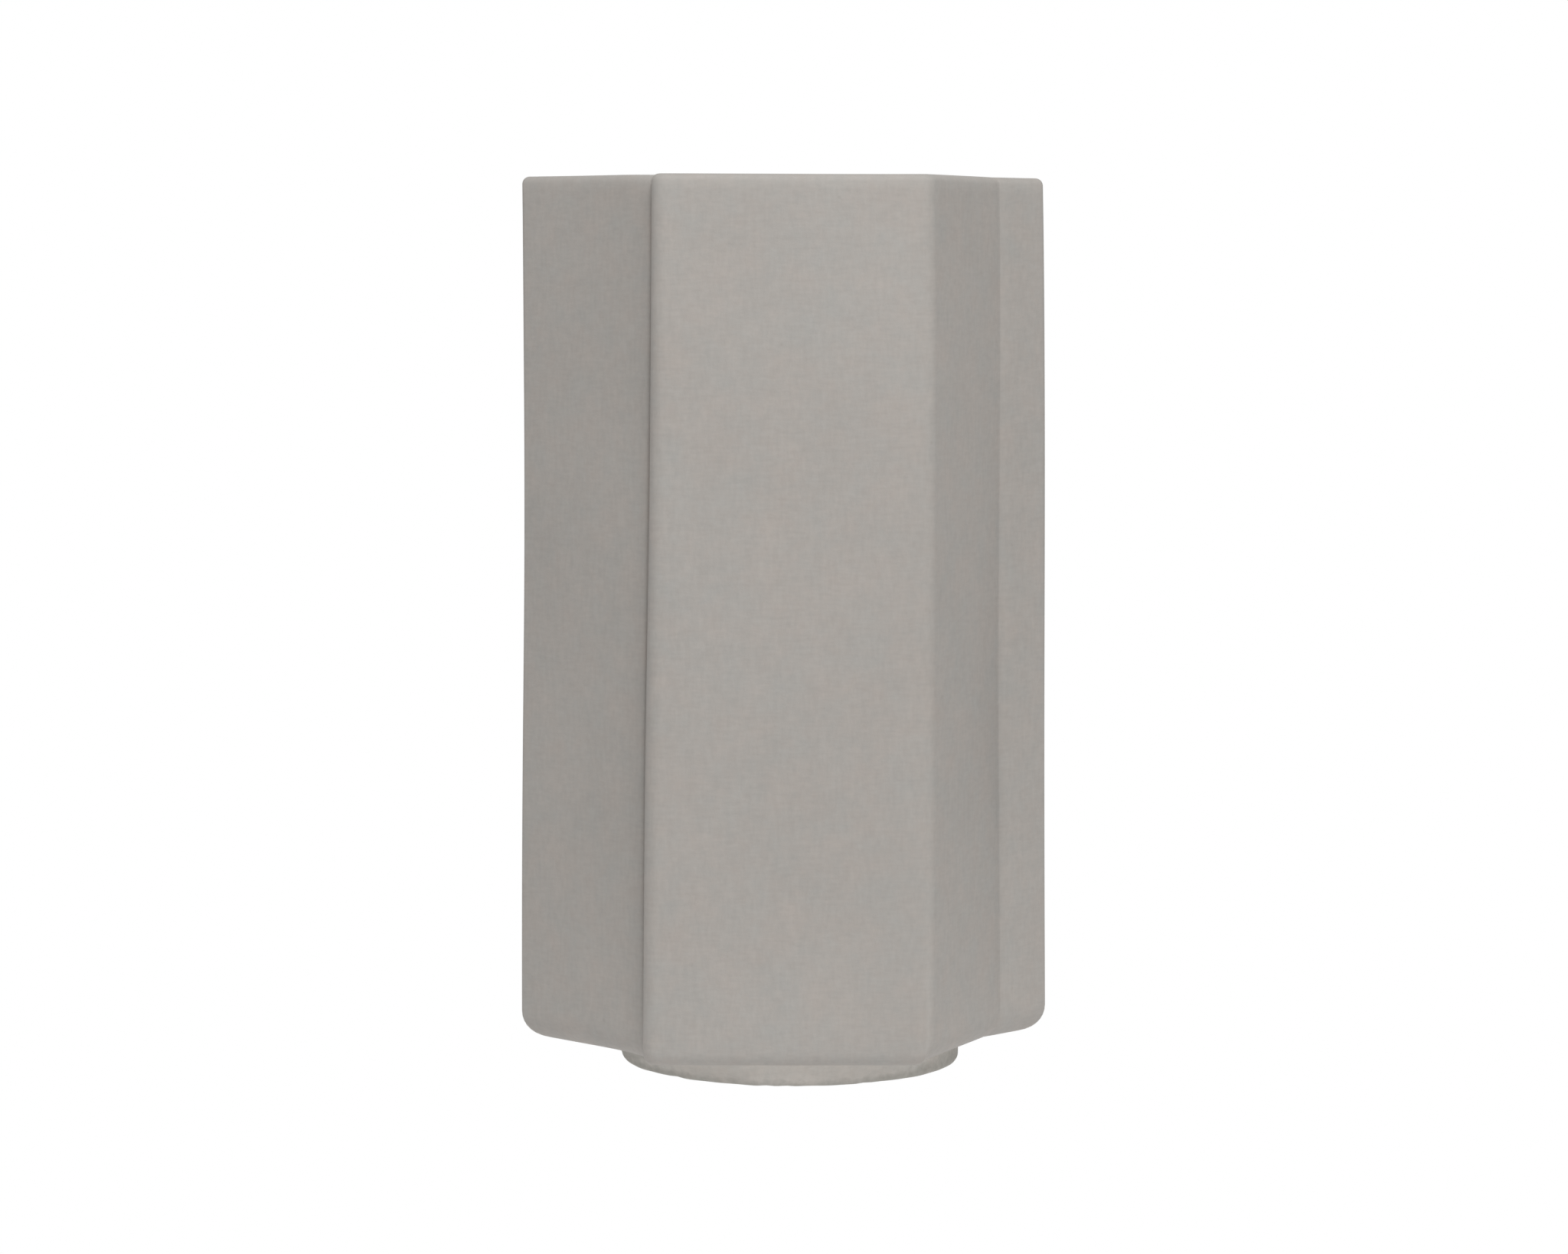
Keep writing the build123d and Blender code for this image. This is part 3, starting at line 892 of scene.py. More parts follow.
@dataclass
class StonewareVessel:
    """Slab-built vessel: folded wall with its lip, floor slab and rounded lower edge, as one skin."""

    plan: FoldedPlan = field(default_factory=FoldedPlan)
    rim_z: float = field(default_factory=lambda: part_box("vessel_wall")[1].z)
    floor_thickness: float = 0.008
    lip_radius: float = 0.002
    base_radius: float = 0.0075
    front_base_radius: float = 0.004
    floor_cove: float = 0.004  # rounding between the inner wall and the floor
    wall_rows: int = 78
    inner_rows: int = 48
    arc_rows: int = 9
    fan_rows: int = 7
    wobble: float = 0.00011  # hand-built unevenness of the faces
    wobble_waves: Waves = ((1.0, 3, 4, 0.7), (0.6, 7, -9, 2.1))
    side_bow: float = 0.0005  # how far the left side is drawn in below the rim
    bow_share: float = 0.38  # share of the height, from the rim, at which it is drawn in most
    bow_spread: float = 0.24
    bow_power: int = 4  # how closely the drawing-in keeps to what looks left
    ridge: float = 0.0002  # low ridge along the cheek beside the crease
    ridge_width: float = 0.003
    valley: float = 0.00025  # how far the crease itself is pressed in
    valley_width: float = 0.0025
    hollow: float = 0.0007  # how much further the crease is pressed in below half height
    hollow_width: float = 0.012
    hollow_share: float = 0.6
    hollow_spread: float = 0.25
    fold_lean: float = 0.0009  # how far the front fold leans to the left, from rim to underside
    rim_lean: float = 0.0003  # how far the rim leans to the left
    rim_wave: float = 0.00005
    rim_waves: Waves = ((1.0, 2, 0, 1.0), (0.6, 5, 0, 0.4))
    rim_sag: float = 0.0001  # how far the rim sinks in the middle
    sag_curve: float = 1.65  # how much the sag turns into a rise at the sides
    rim_tilt: float = 0.0001  # how far the rim rises on the left and sinks on the right
    rim_reach: float = 0.02  # depth over which the rim's own unevenness dies out
    lap_dip: float = 0.0006  # how far the wing's lip sinks beside the lap
    lap_dip_width: float = 0.0065
    lap_reach: float = 0.007  # how far along the wing the front panel's rounding of the base goes
    front_start: float = 0.75  # how far a wall looks to the front where that rounding starts
    front_blend: float = 0.2
    slit_depth: float = 0.0014  # open slit where the lap's edge lies on the wing
    slit_width: float = 0.00035
    slit_gape: float = 0.7  # how much deeper the slit is at the rim
    slit_fade: float = 0.002
    slit_base_fade: float = 0.03
    edge_width: float = 0.0012
    fold_wear: float = 0.8
    painted_shade_share: float = 0.7  # share of the height, from the rim, at which the painted shade in the folds is darkest
    painted_shade_spread: float = 0.25
    crease_shade_reach: float = 0.02
    lap_shade: float = 0.6  # painted shade beside the lap, to that in the crease
    lap_shade_reach: float = 0.006
    sharp_above: float = math.radians(80)

    def sides(self, base_radius: float) -> tuple[SlabSide, SlabSide]:
        """Levels from the edge of the underside up the outside, and from the lip's top down to the floor.

        Quarter arcs join the underside to the wall, the wall to the lip on both sides, and the inner wall to
        the floor.

        Args:
            base_radius: rounding between the underside and the wall.

        Returns:
            The outside and the inside.
        """
        height, thickness, lip = self.plan.height, self.plan.wall_thickness, self.lip_radius
        inner_depth = height - self.floor_thickness
        base_in, base_up = quarter_round(base_radius, self.arc_rows)
        lip_in, lip_down = quarter_round(lip, self.arc_rows)
        cove_in, cove_up = quarter_round(self.floor_cove, self.arc_rows)
        outer = np.linspace(height - base_radius, lip, self.wall_rows)[1:-1]
        inner = np.linspace(lip, inner_depth - self.floor_cove, self.inner_rows)[1:-1]
        outside = [(height - base_up[::-1], base_in[::-1]), (outer, np.zeros_like(outer)), (lip_down, lip_in)]
        inside = [
            (lip_down[::-1], thickness - lip_in[::-1]),
            (inner, np.full_like(inner, thickness)),
            (inner_depth - cove_up, thickness + cove_in),
        ]
        outside, inside = ([np.concatenate(parts) for parts in zip(*rows)] for rows in (outside, inside))
        return SlabSide(*outside, within=False), SlabSide(*inside, within=True)

    def hand_shaped(self, wall: WallRings) -> tuple[np.ndarray, np.ndarray]:
        """Adds the unevenness of hand building.

        Each face moves along its normal by a sum of slow waves round the outline and down the wall, the
        left side draws in by a bell curve, a narrow bell curve sinks a slit along the lap, a valley
        exp(-d / w) is pressed in along the crease and a ridge d / w exp(1 - d / w) rises beside it. The front
        fold leans to the left on its way down. The rim leans to the left, waves slowly, sags in the middle and
        dips on the wing beside the lap.

        Args:
            wall: the wall's outlines.

        Returns:
            The moved plan points, and a height to add to each point.
        """
        outline, drop = wall.outline, wall.drop
        turn = FULL_TURN * wall.along / wall.length
        share = (drop / self.plan.height)[:, None]
        tangent = tangents(outline)
        normal = np.stack([tangent[..., 1], -tangent[..., 0]], axis=-1)
        looks_left = np.clip(-normal[..., 0], 0, 1)
        bow = looks_left**self.bow_power * bump_at(share - self.bow_share, self.bow_spread)
        seam, fold, crease = self.plan.apexes(Corner.LAP, Corner.FRONT_FOLD, Corner.CREASE)
        from_crease = wall.past(crease)
        past_crease = np.maximum(from_crease, 0) / self.ridge_width
        lift = self.wobble * waves(self.wobble_waves, turn, share) - self.side_bow * bow
        lift = lift + self.ridge * past_crease * np.exp(1 - past_crease)
        lift = lift - self.valley * np.exp(-np.abs(from_crease) / self.valley_width)
        reach = np.where(from_crease < 0, self.hollow_width, self.ridge_width)
        hollow = bump_at(share - self.hollow_share, self.hollow_spread) * np.exp(-np.abs(from_crease) / reach)
        past_seam = wall.past(seam)
        before_seam = wall.length - past_seam
        near_rim = np.exp(-drop / self.rim_reach)
        below_lip = np.clip((drop - self.lip_radius) / self.slit_fade, 0, 1)
        above_base = np.clip((self.plan.height - self.lip_radius - drop) / self.slit_base_fade, 0, 1)
        opened = below_lip * above_base * (1 + self.slit_gape * near_rim) * ~wall.within
        on_wing = np.where(past_seam < before_seam, -past_seam, before_seam)
        slit = opened[:, None] * bump_at(on_wing - self.slit_width, self.slit_width)
        lift = lift - self.hollow * hollow - self.slit_depth * slit
        across = outline[..., 0] / self.plan.half_width
        rise = self.rim_wave * waves(self.rim_waves, turn) - self.rim_tilt * across
        rise = rise - self.rim_sag * (1 - self.sag_curve * across**2)
        rise = rise - self.lap_dip * bump_at(before_seam, self.lap_dip_width)
        moved = outline + normal * lift[..., None]
        from_fold = np.abs(wall.past(fold)) / wall.past(fold)[:, crease, None]
        moved[..., 0] -= self.fold_lean * share * np.clip(1 - from_fold, 0, 1)
        moved[..., 0] -= self.rim_lean * near_rim[:, None]
        return moved, rise * near_rim[:, None]

    def edge_mark(self, wall: WallRings) -> np.ndarray:
        """How near each point is to the lip or to an outward fold, which is rubbed more lower down.

        Args:
            wall: the wall's outlines.

        Returns:
            Nearness from 0 to 1, levels by columns.
        """
        folds = self.plan.apexes(Corner.FRONT_FOLD, Corner.RIGHT_FOLD, Corner.LEFT_FOLD)
        reach = np.min([np.abs(wall.past(fold)) for fold in folds], axis=0)
        rubbed = self.fold_wear * wall.drop / self.plan.height * ~wall.within
        fold = bump_at(reach, self.edge_width) * rubbed[:, None]
        lip = np.exp(-np.maximum(wall.drop - self.lip_radius, 0) / self.edge_width)[:, None]
        return 1 - (1 - fold) * (1 - lip)

    def painted_shade_mark(self, wall: WallRings) -> np.ndarray:
        """Painted shade on the return beside the crease and on the wing beside the lap, darkest a little below half
        height.

        Args:
            wall: the wall's outlines.

        Returns:
            Amount from 0 to 1, levels by columns.
        """
        seam, crease = self.plan.apexes(Corner.LAP, Corner.CREASE)
        from_crease = wall.past(crease)
        reach = np.where(from_crease > 0, self.edge_width, self.crease_shade_reach)
        in_crease = np.exp(-np.abs(from_crease) / reach)
        by_lap = self.lap_shade * np.exp(-(-wall.past(seam) % wall.length) / self.lap_shade_reach)
        height = bump_at(wall.drop / self.plan.height - self.painted_shade_share, self.painted_shade_spread) * ~wall.within
        return np.maximum(in_crease, by_lap) * height[:, None]

    def skin(self, base_radius: float) -> tuple[np.ndarray, np.ndarray, dict[Mark, np.ndarray]]:
        """Points of the outside and inside of the wall for one rounding of the base.

        Args:
            base_radius: rounding between the underside and the wall.

        Returns:
            Points, rows by columns by 3; each column's share of the front panel's rounding, which goes by how
            far the wall looks to the front, is 1 on the lap's edge and dies out along the wing; and the marks.
        """
        outside, inside = self.sides(base_radius)
        outer, inner = self.plan.outline(outside), self.plan.outline(inside)
        within = np.repeat([False, True], [len(outer), len(inner)])
        wall = WallRings(np.concatenate([outer, inner]), np.concatenate([outside.drop, inside.drop]), within)
        shaped, rise = self.hand_shaped(wall)
        height = self.rim_z - wall.drop[:, None] + rise
        middle = outer[len(outer) // 2]
        along, length = run_along(middle)
        looks_front = np.clip((tangents(middle)[:, 0] - self.front_start) / self.front_blend, 0, 1)
        share = np.maximum(looks_front, np.exp((along - length) / self.lap_reach))
        share[: self.plan.apexes(Corner.NOSE)[0] + self.plan.arc_points] = 1
        marks = {
            Mark.EDGE: self.edge_mark(wall),
            # painted shade in the crease and beside the lap
            Mark.PAINTED_SHADE: self.painted_shade_mark(wall),
            Mark.INSIDE: np.broadcast_to(within[:, None], height.shape),
        }
        return np.concatenate([shaped, height[..., None]], axis=-1), share, marks

    def build(self) -> None:
        """Makes the vessel as one skin with a pole under the floor and a pole on it.

        The skin is drawn with either rounding of the base, and each column takes a share of the front panel's.
        """
        wall, share, marks = self.skin(self.base_radius)
        front_wall = self.skin(self.front_base_radius)[0]
        wall = wall + (front_wall - wall) * share[:, None]
        fan = np.linspace(0, 1, self.fan_rows, endpoint=False)[:, None, None]
        under, floor = wall[0], wall[-1]
        under_fan = under.mean(axis=0) + (under - under.mean(axis=0)) * fan
        floor_fan = floor.mean(axis=0) + (floor - floor.mean(axis=0)) * fan[::-1]
        flat = np.zeros((self.fan_rows, len(share)))
        for mark, values in marks.items():
            marks[mark] = np.concatenate([flat, values, flat + (mark is Mark.INSIDE)])
        skin = SkinGrid(np.concatenate([under_fan, wall, floor_fan]), marks=marks)
        piece = skin.piece("stoneware_vessel", self.sharp_above)
        settle(piece, STONEWARE, Body.VASE, "vessel_wall", "vessel_floor")


@dataclass
class FootRing:
    """Round foot luted under the floor, with a smear of clay along the joint and an uneven lower rim."""

    centre: Span = (0.0018, -0.0605)
    radius: float = 0.0455
    width: float = 0.0085
    edge_radius: float = 0.0013
    luting: float = 0.0024  # how far the clay smear spreads at the joint
    luting_height: float = 0.0022
    luting_even: float = 0.75  # share of the smear that goes all round
    luting_left: float = 1.2  # what the left has more of it, and the right less
    luting_ripple: float = 0.05
    luting_least: float = 0.1
    lump: float = 0.9  # lump in the smear, right of the front
    lump_angle: float = 5.25
    lump_width: float = 0.4
    tuck: float = 0.0006  # depth that the ring goes into the floor
    tilt: float = 0.0002  # how far the lower rim sinks on the right and rises on the left
    rim_reach: float = 0.0016  # height over which the lower rim's unevenness dies out
    rim_wave: float = 0.00007
    rim_waves: Waves = ((1.0, 5, 0, 0.6), (0.7, 13, 0, 1.9), (0.4, 29, 0, 0.0))
    nick_depth: float = 0.00016
    nick_inset: float = 0.6  # how far a chip goes inwards, to its depth
    nicks: tuple[float, ...] = (-1.72, -1.60, -1.13, -2.31, 0.6, 2.2)  # angles of small chips
    nick_width: float = 0.035
    rim_shadow_height: float = 0.0021  # painted contact shadow along the lower rim
    rim_shadow_sides: float = 2.0  # how much higher it is on both sides, and once more on the right
    shaded_smear: float = 0.0006  # clay smear on the left that is fully in painted shade
    side_power: int = 6  # how closely the painted shadow keeps to the sides
    front_fade: float = 0.25  # how much fainter the painted shadow is in front
    front_width: float = 0.35
    wall_rows: int = 14
    under_rows: int = 6
    edge_rows: int = 7
    columns: int = 256

    def profile(self, low: float, high: float) -> tuple[np.ndarray, np.ndarray]:
        """Ring's plain section, down the outside, round the lower edge, under the ring and up the inside.

        Args:
            low: height of the lower rim.
            high: height of the joint.

        Returns:
            Radius and height of each point.
        """
        edge, inner = self.edge_radius, self.radius - self.width
        edge_in, edge_up = quarter_round(edge, self.edge_rows)
        drop = np.concatenate([[-self.tuck], np.linspace(0, high - low - edge, self.wall_rows)])
        under = np.linspace(self.radius - edge, inner + edge, self.under_rows)[1:-1]
        parts = [
            (np.full_like(drop, self.radius), high - drop),
            (self.radius - edge_in[1:], low + edge_up[1:]),
            (under, np.full_like(under, low)),
            (inner + edge_in[::-1], low + edge_up[::-1]),
            (np.full_like(drop[:-1], inner), high - drop[-2::-1]),
        ]
        radius, height = (np.concatenate(values) for values in zip(*parts))
        return radius, height

    def painted_rim_shadow(self, above_rim: np.ndarray, angle: np.ndarray, smear: np.ndarray) -> np.ndarray:
        """Painted contact shadow along the lower rim: a bell curve upwards, faintest in front, with painted shade
        over the smear on the left.

        Args:
            above_rim: height above the lower rim.
            angle: angle round the ring.
            smear: how far the clay smear stands out.

        Returns:
            Depth of the painted shadow from 0 to 1.
        """
        right, left = (np.clip(way * np.cos(angle), 0, 1) ** self.side_power for way in (1, -1))
        height = self.rim_shadow_height * (1 + self.rim_shadow_sides * (left + right) + self.rim_shadow_sides * right)
        painted_rim_shadow = bump_at(above_rim, height)
        painted_rim_shadow = painted_rim_shadow * (1 - self.front_fade * bump_at(angle - 3 * QUARTER_TURN, self.front_width))
        return np.minimum(np.maximum(painted_rim_shadow, left * smear / self.shaded_smear), 1)

    def build(self) -> None:
        """Makes the ring as a profile carried round its axis, closed both ways.

        The joint flares by luting exp(-depth / luting height), fuller on the left and right of the front, and
        waves and chips fade out above the lower rim.
        """
        low, high = (corner.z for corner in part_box("foot_ring"))
        radius, z, angle = turned(*self.profile(low, high), self.columns)
        outwards = np.sign(radius - self.radius + self.width / 2)
        round_ring = self.luting_even - self.luting_left * np.cos(angle) + self.luting_ripple * np.sin(3 * angle)
        fuller = np.maximum(round_ring, self.luting_least)
        fuller = fuller + self.lump * bump_at(angle - self.lump_angle, self.lump_width)
        smear = self.luting * fuller * np.exp(-np.maximum(high - z, 0) / self.luting_height)
        near_rim = np.exp(-(z - low) / self.rim_reach)
        chip_angle = off_nearest(angle[..., None] - np.array(self.nicks), FULL_TURN)
        chips = self.nick_depth * bump_at(chip_angle, self.nick_width).sum(axis=-1)
        radius = radius + outwards * (smear - near_rim * self.nick_inset * chips)
        lifted = z + near_rim * (self.rim_wave * waves(self.rim_waves, angle) + chips - self.tilt * np.cos(angle))
        x, y = self.centre[0] + radius * np.cos(angle), self.centre[1] + radius * np.sin(angle)
        bare = np.zeros_like(angle)
        # the edge value carries the painted contact shadow along the lower rim
        marks = {Mark.EDGE: self.painted_rim_shadow(z - low, angle, smear), Mark.PAINTED_SHADE: bare, Mark.INSIDE: bare}
        skin = SkinGrid(np.stack([x, y, lifted], axis=-1), wraps=True, marks=marks)
        settle(skin.piece("stoneware_foot"), FOOT_STONEWARE, Body.VASE, "foot_ring")


# Hanger on the vase


EDGE_STEP = 0.0001  # smallest step on a turned edge


@dataclass
class TurnedPart:
    """Part turned about an axis along Y, of which there is one left and one right of the middle."""

    name: str
    node: str
    finish: Finish
    shape: Turned
    wraps: bool = False
    sharp_above: float = SHARP_FOLD


def build_pairs(parts: tuple[TurnedPart, ...], spacing: float, z: float, body: Body) -> None:
    """Makes each part left and right of the middle, at x + r cos a, y, z + r sin a.

    Args:
        parts: the parts.
        spacing: distance between the left and the right axis.
        z: height of the axes.
        body: CAD body that the parts ride on.
    """
    for label, side in SIDES:
        for part in parts:
            radius, y, angle = part.shape
            across, up = radius * np.cos(angle), radius * np.sin(angle)
            skin = SkinGrid(np.stack([side * spacing / 2 + across, y, z + up], axis=-1), part.wraps)
            settle(skin.piece(f"{part.name}_{label}", part.sharp_above), part.finish, body, part.node)


def mid_height(node: str) -> float:
    """Height of the middle of a CAD node."""
    return sum(corner.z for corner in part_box(node)) / 2


def threaded(start: float, end: float, pitch: float, rows_per_turn: int = 7) -> np.ndarray:
    """Distances along a thread, close enough together to draw its turns."""
    return np.linspace(start, end, max(2, int(abs(end - start) / pitch * rows_per_turn)))


def thread_cut(along: np.ndarray, angle: np.ndarray, pitch: float, depth: float) -> np.ndarray:
    """Depth of a screw thread's groove: a triangle wave of the distance along plus the share of a turn."""
    phase = (along / pitch + angle / FULL_TURN) % 1.0
    return depth * np.abs(2 * phase - 1)


@dataclass
class HangerSet:
    """Bolts, seals, washers and cap nuts that hold the hanger bar on the vessel's back, and the bar itself."""

    spacing: float = 0.060
    bolt_radius: float = 0.0025
    bolt_head_radius: float = 0.0048
    bolt_pitch: float = 0.0008
    bolt_neck: float = 0.001  # plain shank under the head
    bolt_chamfer: float = 0.0006
    thread_depth: float = 0.0004
    thread_end: float = 0.0005
    socket_across_flats: float = 0.003
    socket_opening: tuple[float, ...] = (1.0, 1.0, 1.0, 1.04, 1.12)  # width of the socket's rings, from its floor
    socket_depth: float = 0.0018
    socket_cone: float = 0.0006
    hole_clearance: float = 0.00025
    seal_edge: float = 0.0005
    seal_bulge: float = 0.0003
    washer_edge: float = 0.0002
    nut_across_flats: float = 0.008
    nut_hex_height: float = 0.004
    nut_dome_radius: float = 0.0037
    nut_bore_depth: float = 0.0075
    nut_clearance: float = 0.00005
    nut_face: float = 0.985  # width of the nut's round faces, to that over its flats
    nut_chamfer: float = math.radians(30)
    nut_sharp_above: float = math.radians(25)
    bar_edge_break: float = 0.0003
    bolt_columns: int = 48
    washer_wall_rows: int = 7
    washer_edge_rows: int = 5
    washer_columns: int = 64
    nut_hex_rows: int = 25
    nut_dome_rows: int = 12
    nut_columns: int = 96

    def build(self) -> None:
        """Makes the fasteners on both sides and dresses the bar and its gasket."""
        seal = self.washer("seal_washers", self.seal_edge, self.seal_bulge)
        washer = self.washer("flat_washers", self.washer_edge, 0.0)
        parts = (
            TurnedPart("hanger_bolt", "hanger_bolts", STAINLESS, self.bolt()),
            TurnedPart("seal_washer", "seal_washers", BLACK_RUBBER, seal, wraps=True),
            TurnedPart("flat_washer", "flat_washers", STAINLESS, washer, wraps=True),
            TurnedPart("cap_nut", "cap_nuts", STAINLESS, self.cap_nut(), sharp_above=self.nut_sharp_above),
        )
        build_pairs(parts, self.spacing, mid_height("cap_nuts"), Body.VASE)
        dress_node("hanger_bar", BAR_ALUMINIUM, self.bar_edge_break)
        dress_node("bar_gasket", BLACK_RUBBER, self.bar_edge_break)

    def bolt(self) -> Turned:
        """Countersunk bolt: hexagon socket, cone under the head, threaded shank with a chamfered end.

        The head's rings pass from a hexagon at the socket to a circle at the rim, and the shank's radius
        falls by the thread's groove.

        Returns:
            Radius, distance along Y and angle.
        """
        end, head = (corner.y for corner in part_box("hanger_bolts"))
        rim, shank, step = self.bolt_head_radius, self.bolt_radius, EDGE_STEP
        cone_end = head - (rim - shank)
        thread = threaded(cone_end - self.bolt_neck, end + self.thread_end, self.bolt_pitch)
        floor, lip = head - self.socket_depth, head - step
        head_radius = [rim - 2 * step, rim, rim - step, shank]
        shank_radius = [*np.full_like(thread, shank), shank - self.bolt_chamfer, 0]
        radius = np.array([0, *self.socket_opening, *head_radius, *shank_radius])
        socket_y = [floor - self.socket_cone, floor, floor + step, lip, head, head]
        along = np.array([*socket_y, head, lip, head - 2 * step, cone_end, *thread, end, end])
        radius, y, angle = turned(radius, along, self.bolt_columns)
        socket = slice(1, 1 + len(self.socket_opening))
        radius[socket] *= hexagon(angle[socket], self.socket_across_flats)
        cut = (y < cone_end) & (y > end + self.thread_end - step)
        return radius - cut * thread_cut(y, angle, self.bolt_pitch, self.thread_depth), y, angle

    def washer(self, node: str, edge: float, bulge: float) -> Turned:
        """Washer in the place of a CAD node's, with rounded edges and an outer wall that bulges by a sine.

        Args:
            node: CAD node that holds it.
            edge: rounding of the edges.
            bulge: how far the outer wall swells when the washer is squeezed.

        Returns:
            Radius, distance along Y and angle.
        """
        low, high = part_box(node)
        outer = (high.z - low.z) / 2
        inner = self.bolt_radius + self.hole_clearance
        edge_in, edge_along = quarter_round(edge, self.washer_edge_rows)
        wall = np.linspace(low.y + edge, high.y - edge, self.washer_wall_rows)
        swell = bulge * np.sin(np.linspace(0, math.pi, len(wall)))
        radius = np.concatenate([outer - edge_in[::-1], outer + swell, outer - edge_in, [inner, inner]])
        along = np.concatenate([low.y + edge_along[::-1], wall, high.y - edge_along, [high.y, low.y]])
        return turned(radius, along, self.washer_columns)

    def cap_nut(self) -> Turned:
        """Domed nut: the hexagon is cut by a cone at each end, then comes a neck and half a sphere.

        The hexagon's radius is the least of the hexagon's own and of the two cones'.

        Returns:
            Radius, distance along Y and angle.
        """
        tip, base = (corner.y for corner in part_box("cap_nuts"))
        dome, bore = self.nut_dome_radius, self.bolt_radius + self.nut_clearance
        flats = base - np.linspace(0, self.nut_hex_height, self.nut_hex_rows)
        dome_in, dome_along = quarter_round(dome, self.nut_dome_rows)
        bored, bore_end = [0, bore, bore], base - self.nut_bore_depth
        radius = np.concatenate([bored, np.ones_like(flats), [dome], dome - dome_in])
        along = np.concatenate([[bore_end, bore_end, base], flats, [flats[-1]], tip + dome_along])
        radius, y, angle = turned(radius, along, self.nut_columns)
        from_end = np.minimum(base - flats, flats - flats[-1])[:, None]
        cone = self.nut_across_flats / 2 * self.nut_face + from_end / math.tan(self.nut_chamfer)
        hexed = slice(len(bored), len(bored) + len(flats))
        radius[hexed] = np.minimum(hexagon(angle[hexed], self.nut_across_flats), cone)
        return radius, y, angle


@dataclass
class WallPads:
    """Silicone pads low on the vessel's back, dished where they touch the wall."""

    spacing: float = 0.090
    radius: float = 0.007
    edge_radius: float = 0.0015
    dish: float = 0.0006
    waist: float = 0.0004
    wall_rows: int = 14
    edge_rows: int = 8
    dish_rows: int = 8
    columns: int = 72

    def build(self) -> None:
        """Makes the pads on both sides."""
        pad = TurnedPart("wall_pad", "wall_pads", PAD_SILICONE, self.pad())
        build_pairs((pad,), self.spacing, mid_height("wall_pads"), Body.VASE)

    def pad(self) -> Turned:
        """Pad with a slight waist by a sine, a rounded rim and a shallow dish by a squared cosine.

        Returns:
            Radius, distance along Y and angle.
        """
        start, end = (corner.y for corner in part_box("wall_pads"))
        edge_in, edge_along = quarter_round(self.edge_radius, self.edge_rows)
        wall = np.linspace(start, end - self.edge_radius, self.wall_rows)
        waist = self.waist * np.sin(np.linspace(0, math.pi, len(wall)))
        inwards = np.linspace(0, 1, self.dish_rows)[1:]
        dish = (1 - inwards) * (self.radius - self.edge_radius)
        sunk = self.dish * np.sin(QUARTER_TURN * inwards) ** 2
        radius = np.concatenate([[0], self.radius - waist, self.radius - edge_in[1:], dish])
        along = np.concatenate([[start], wall, end - edge_along[1:], end - sunk])
        return turned(radius, along, self.columns)


# Fixings on the wall


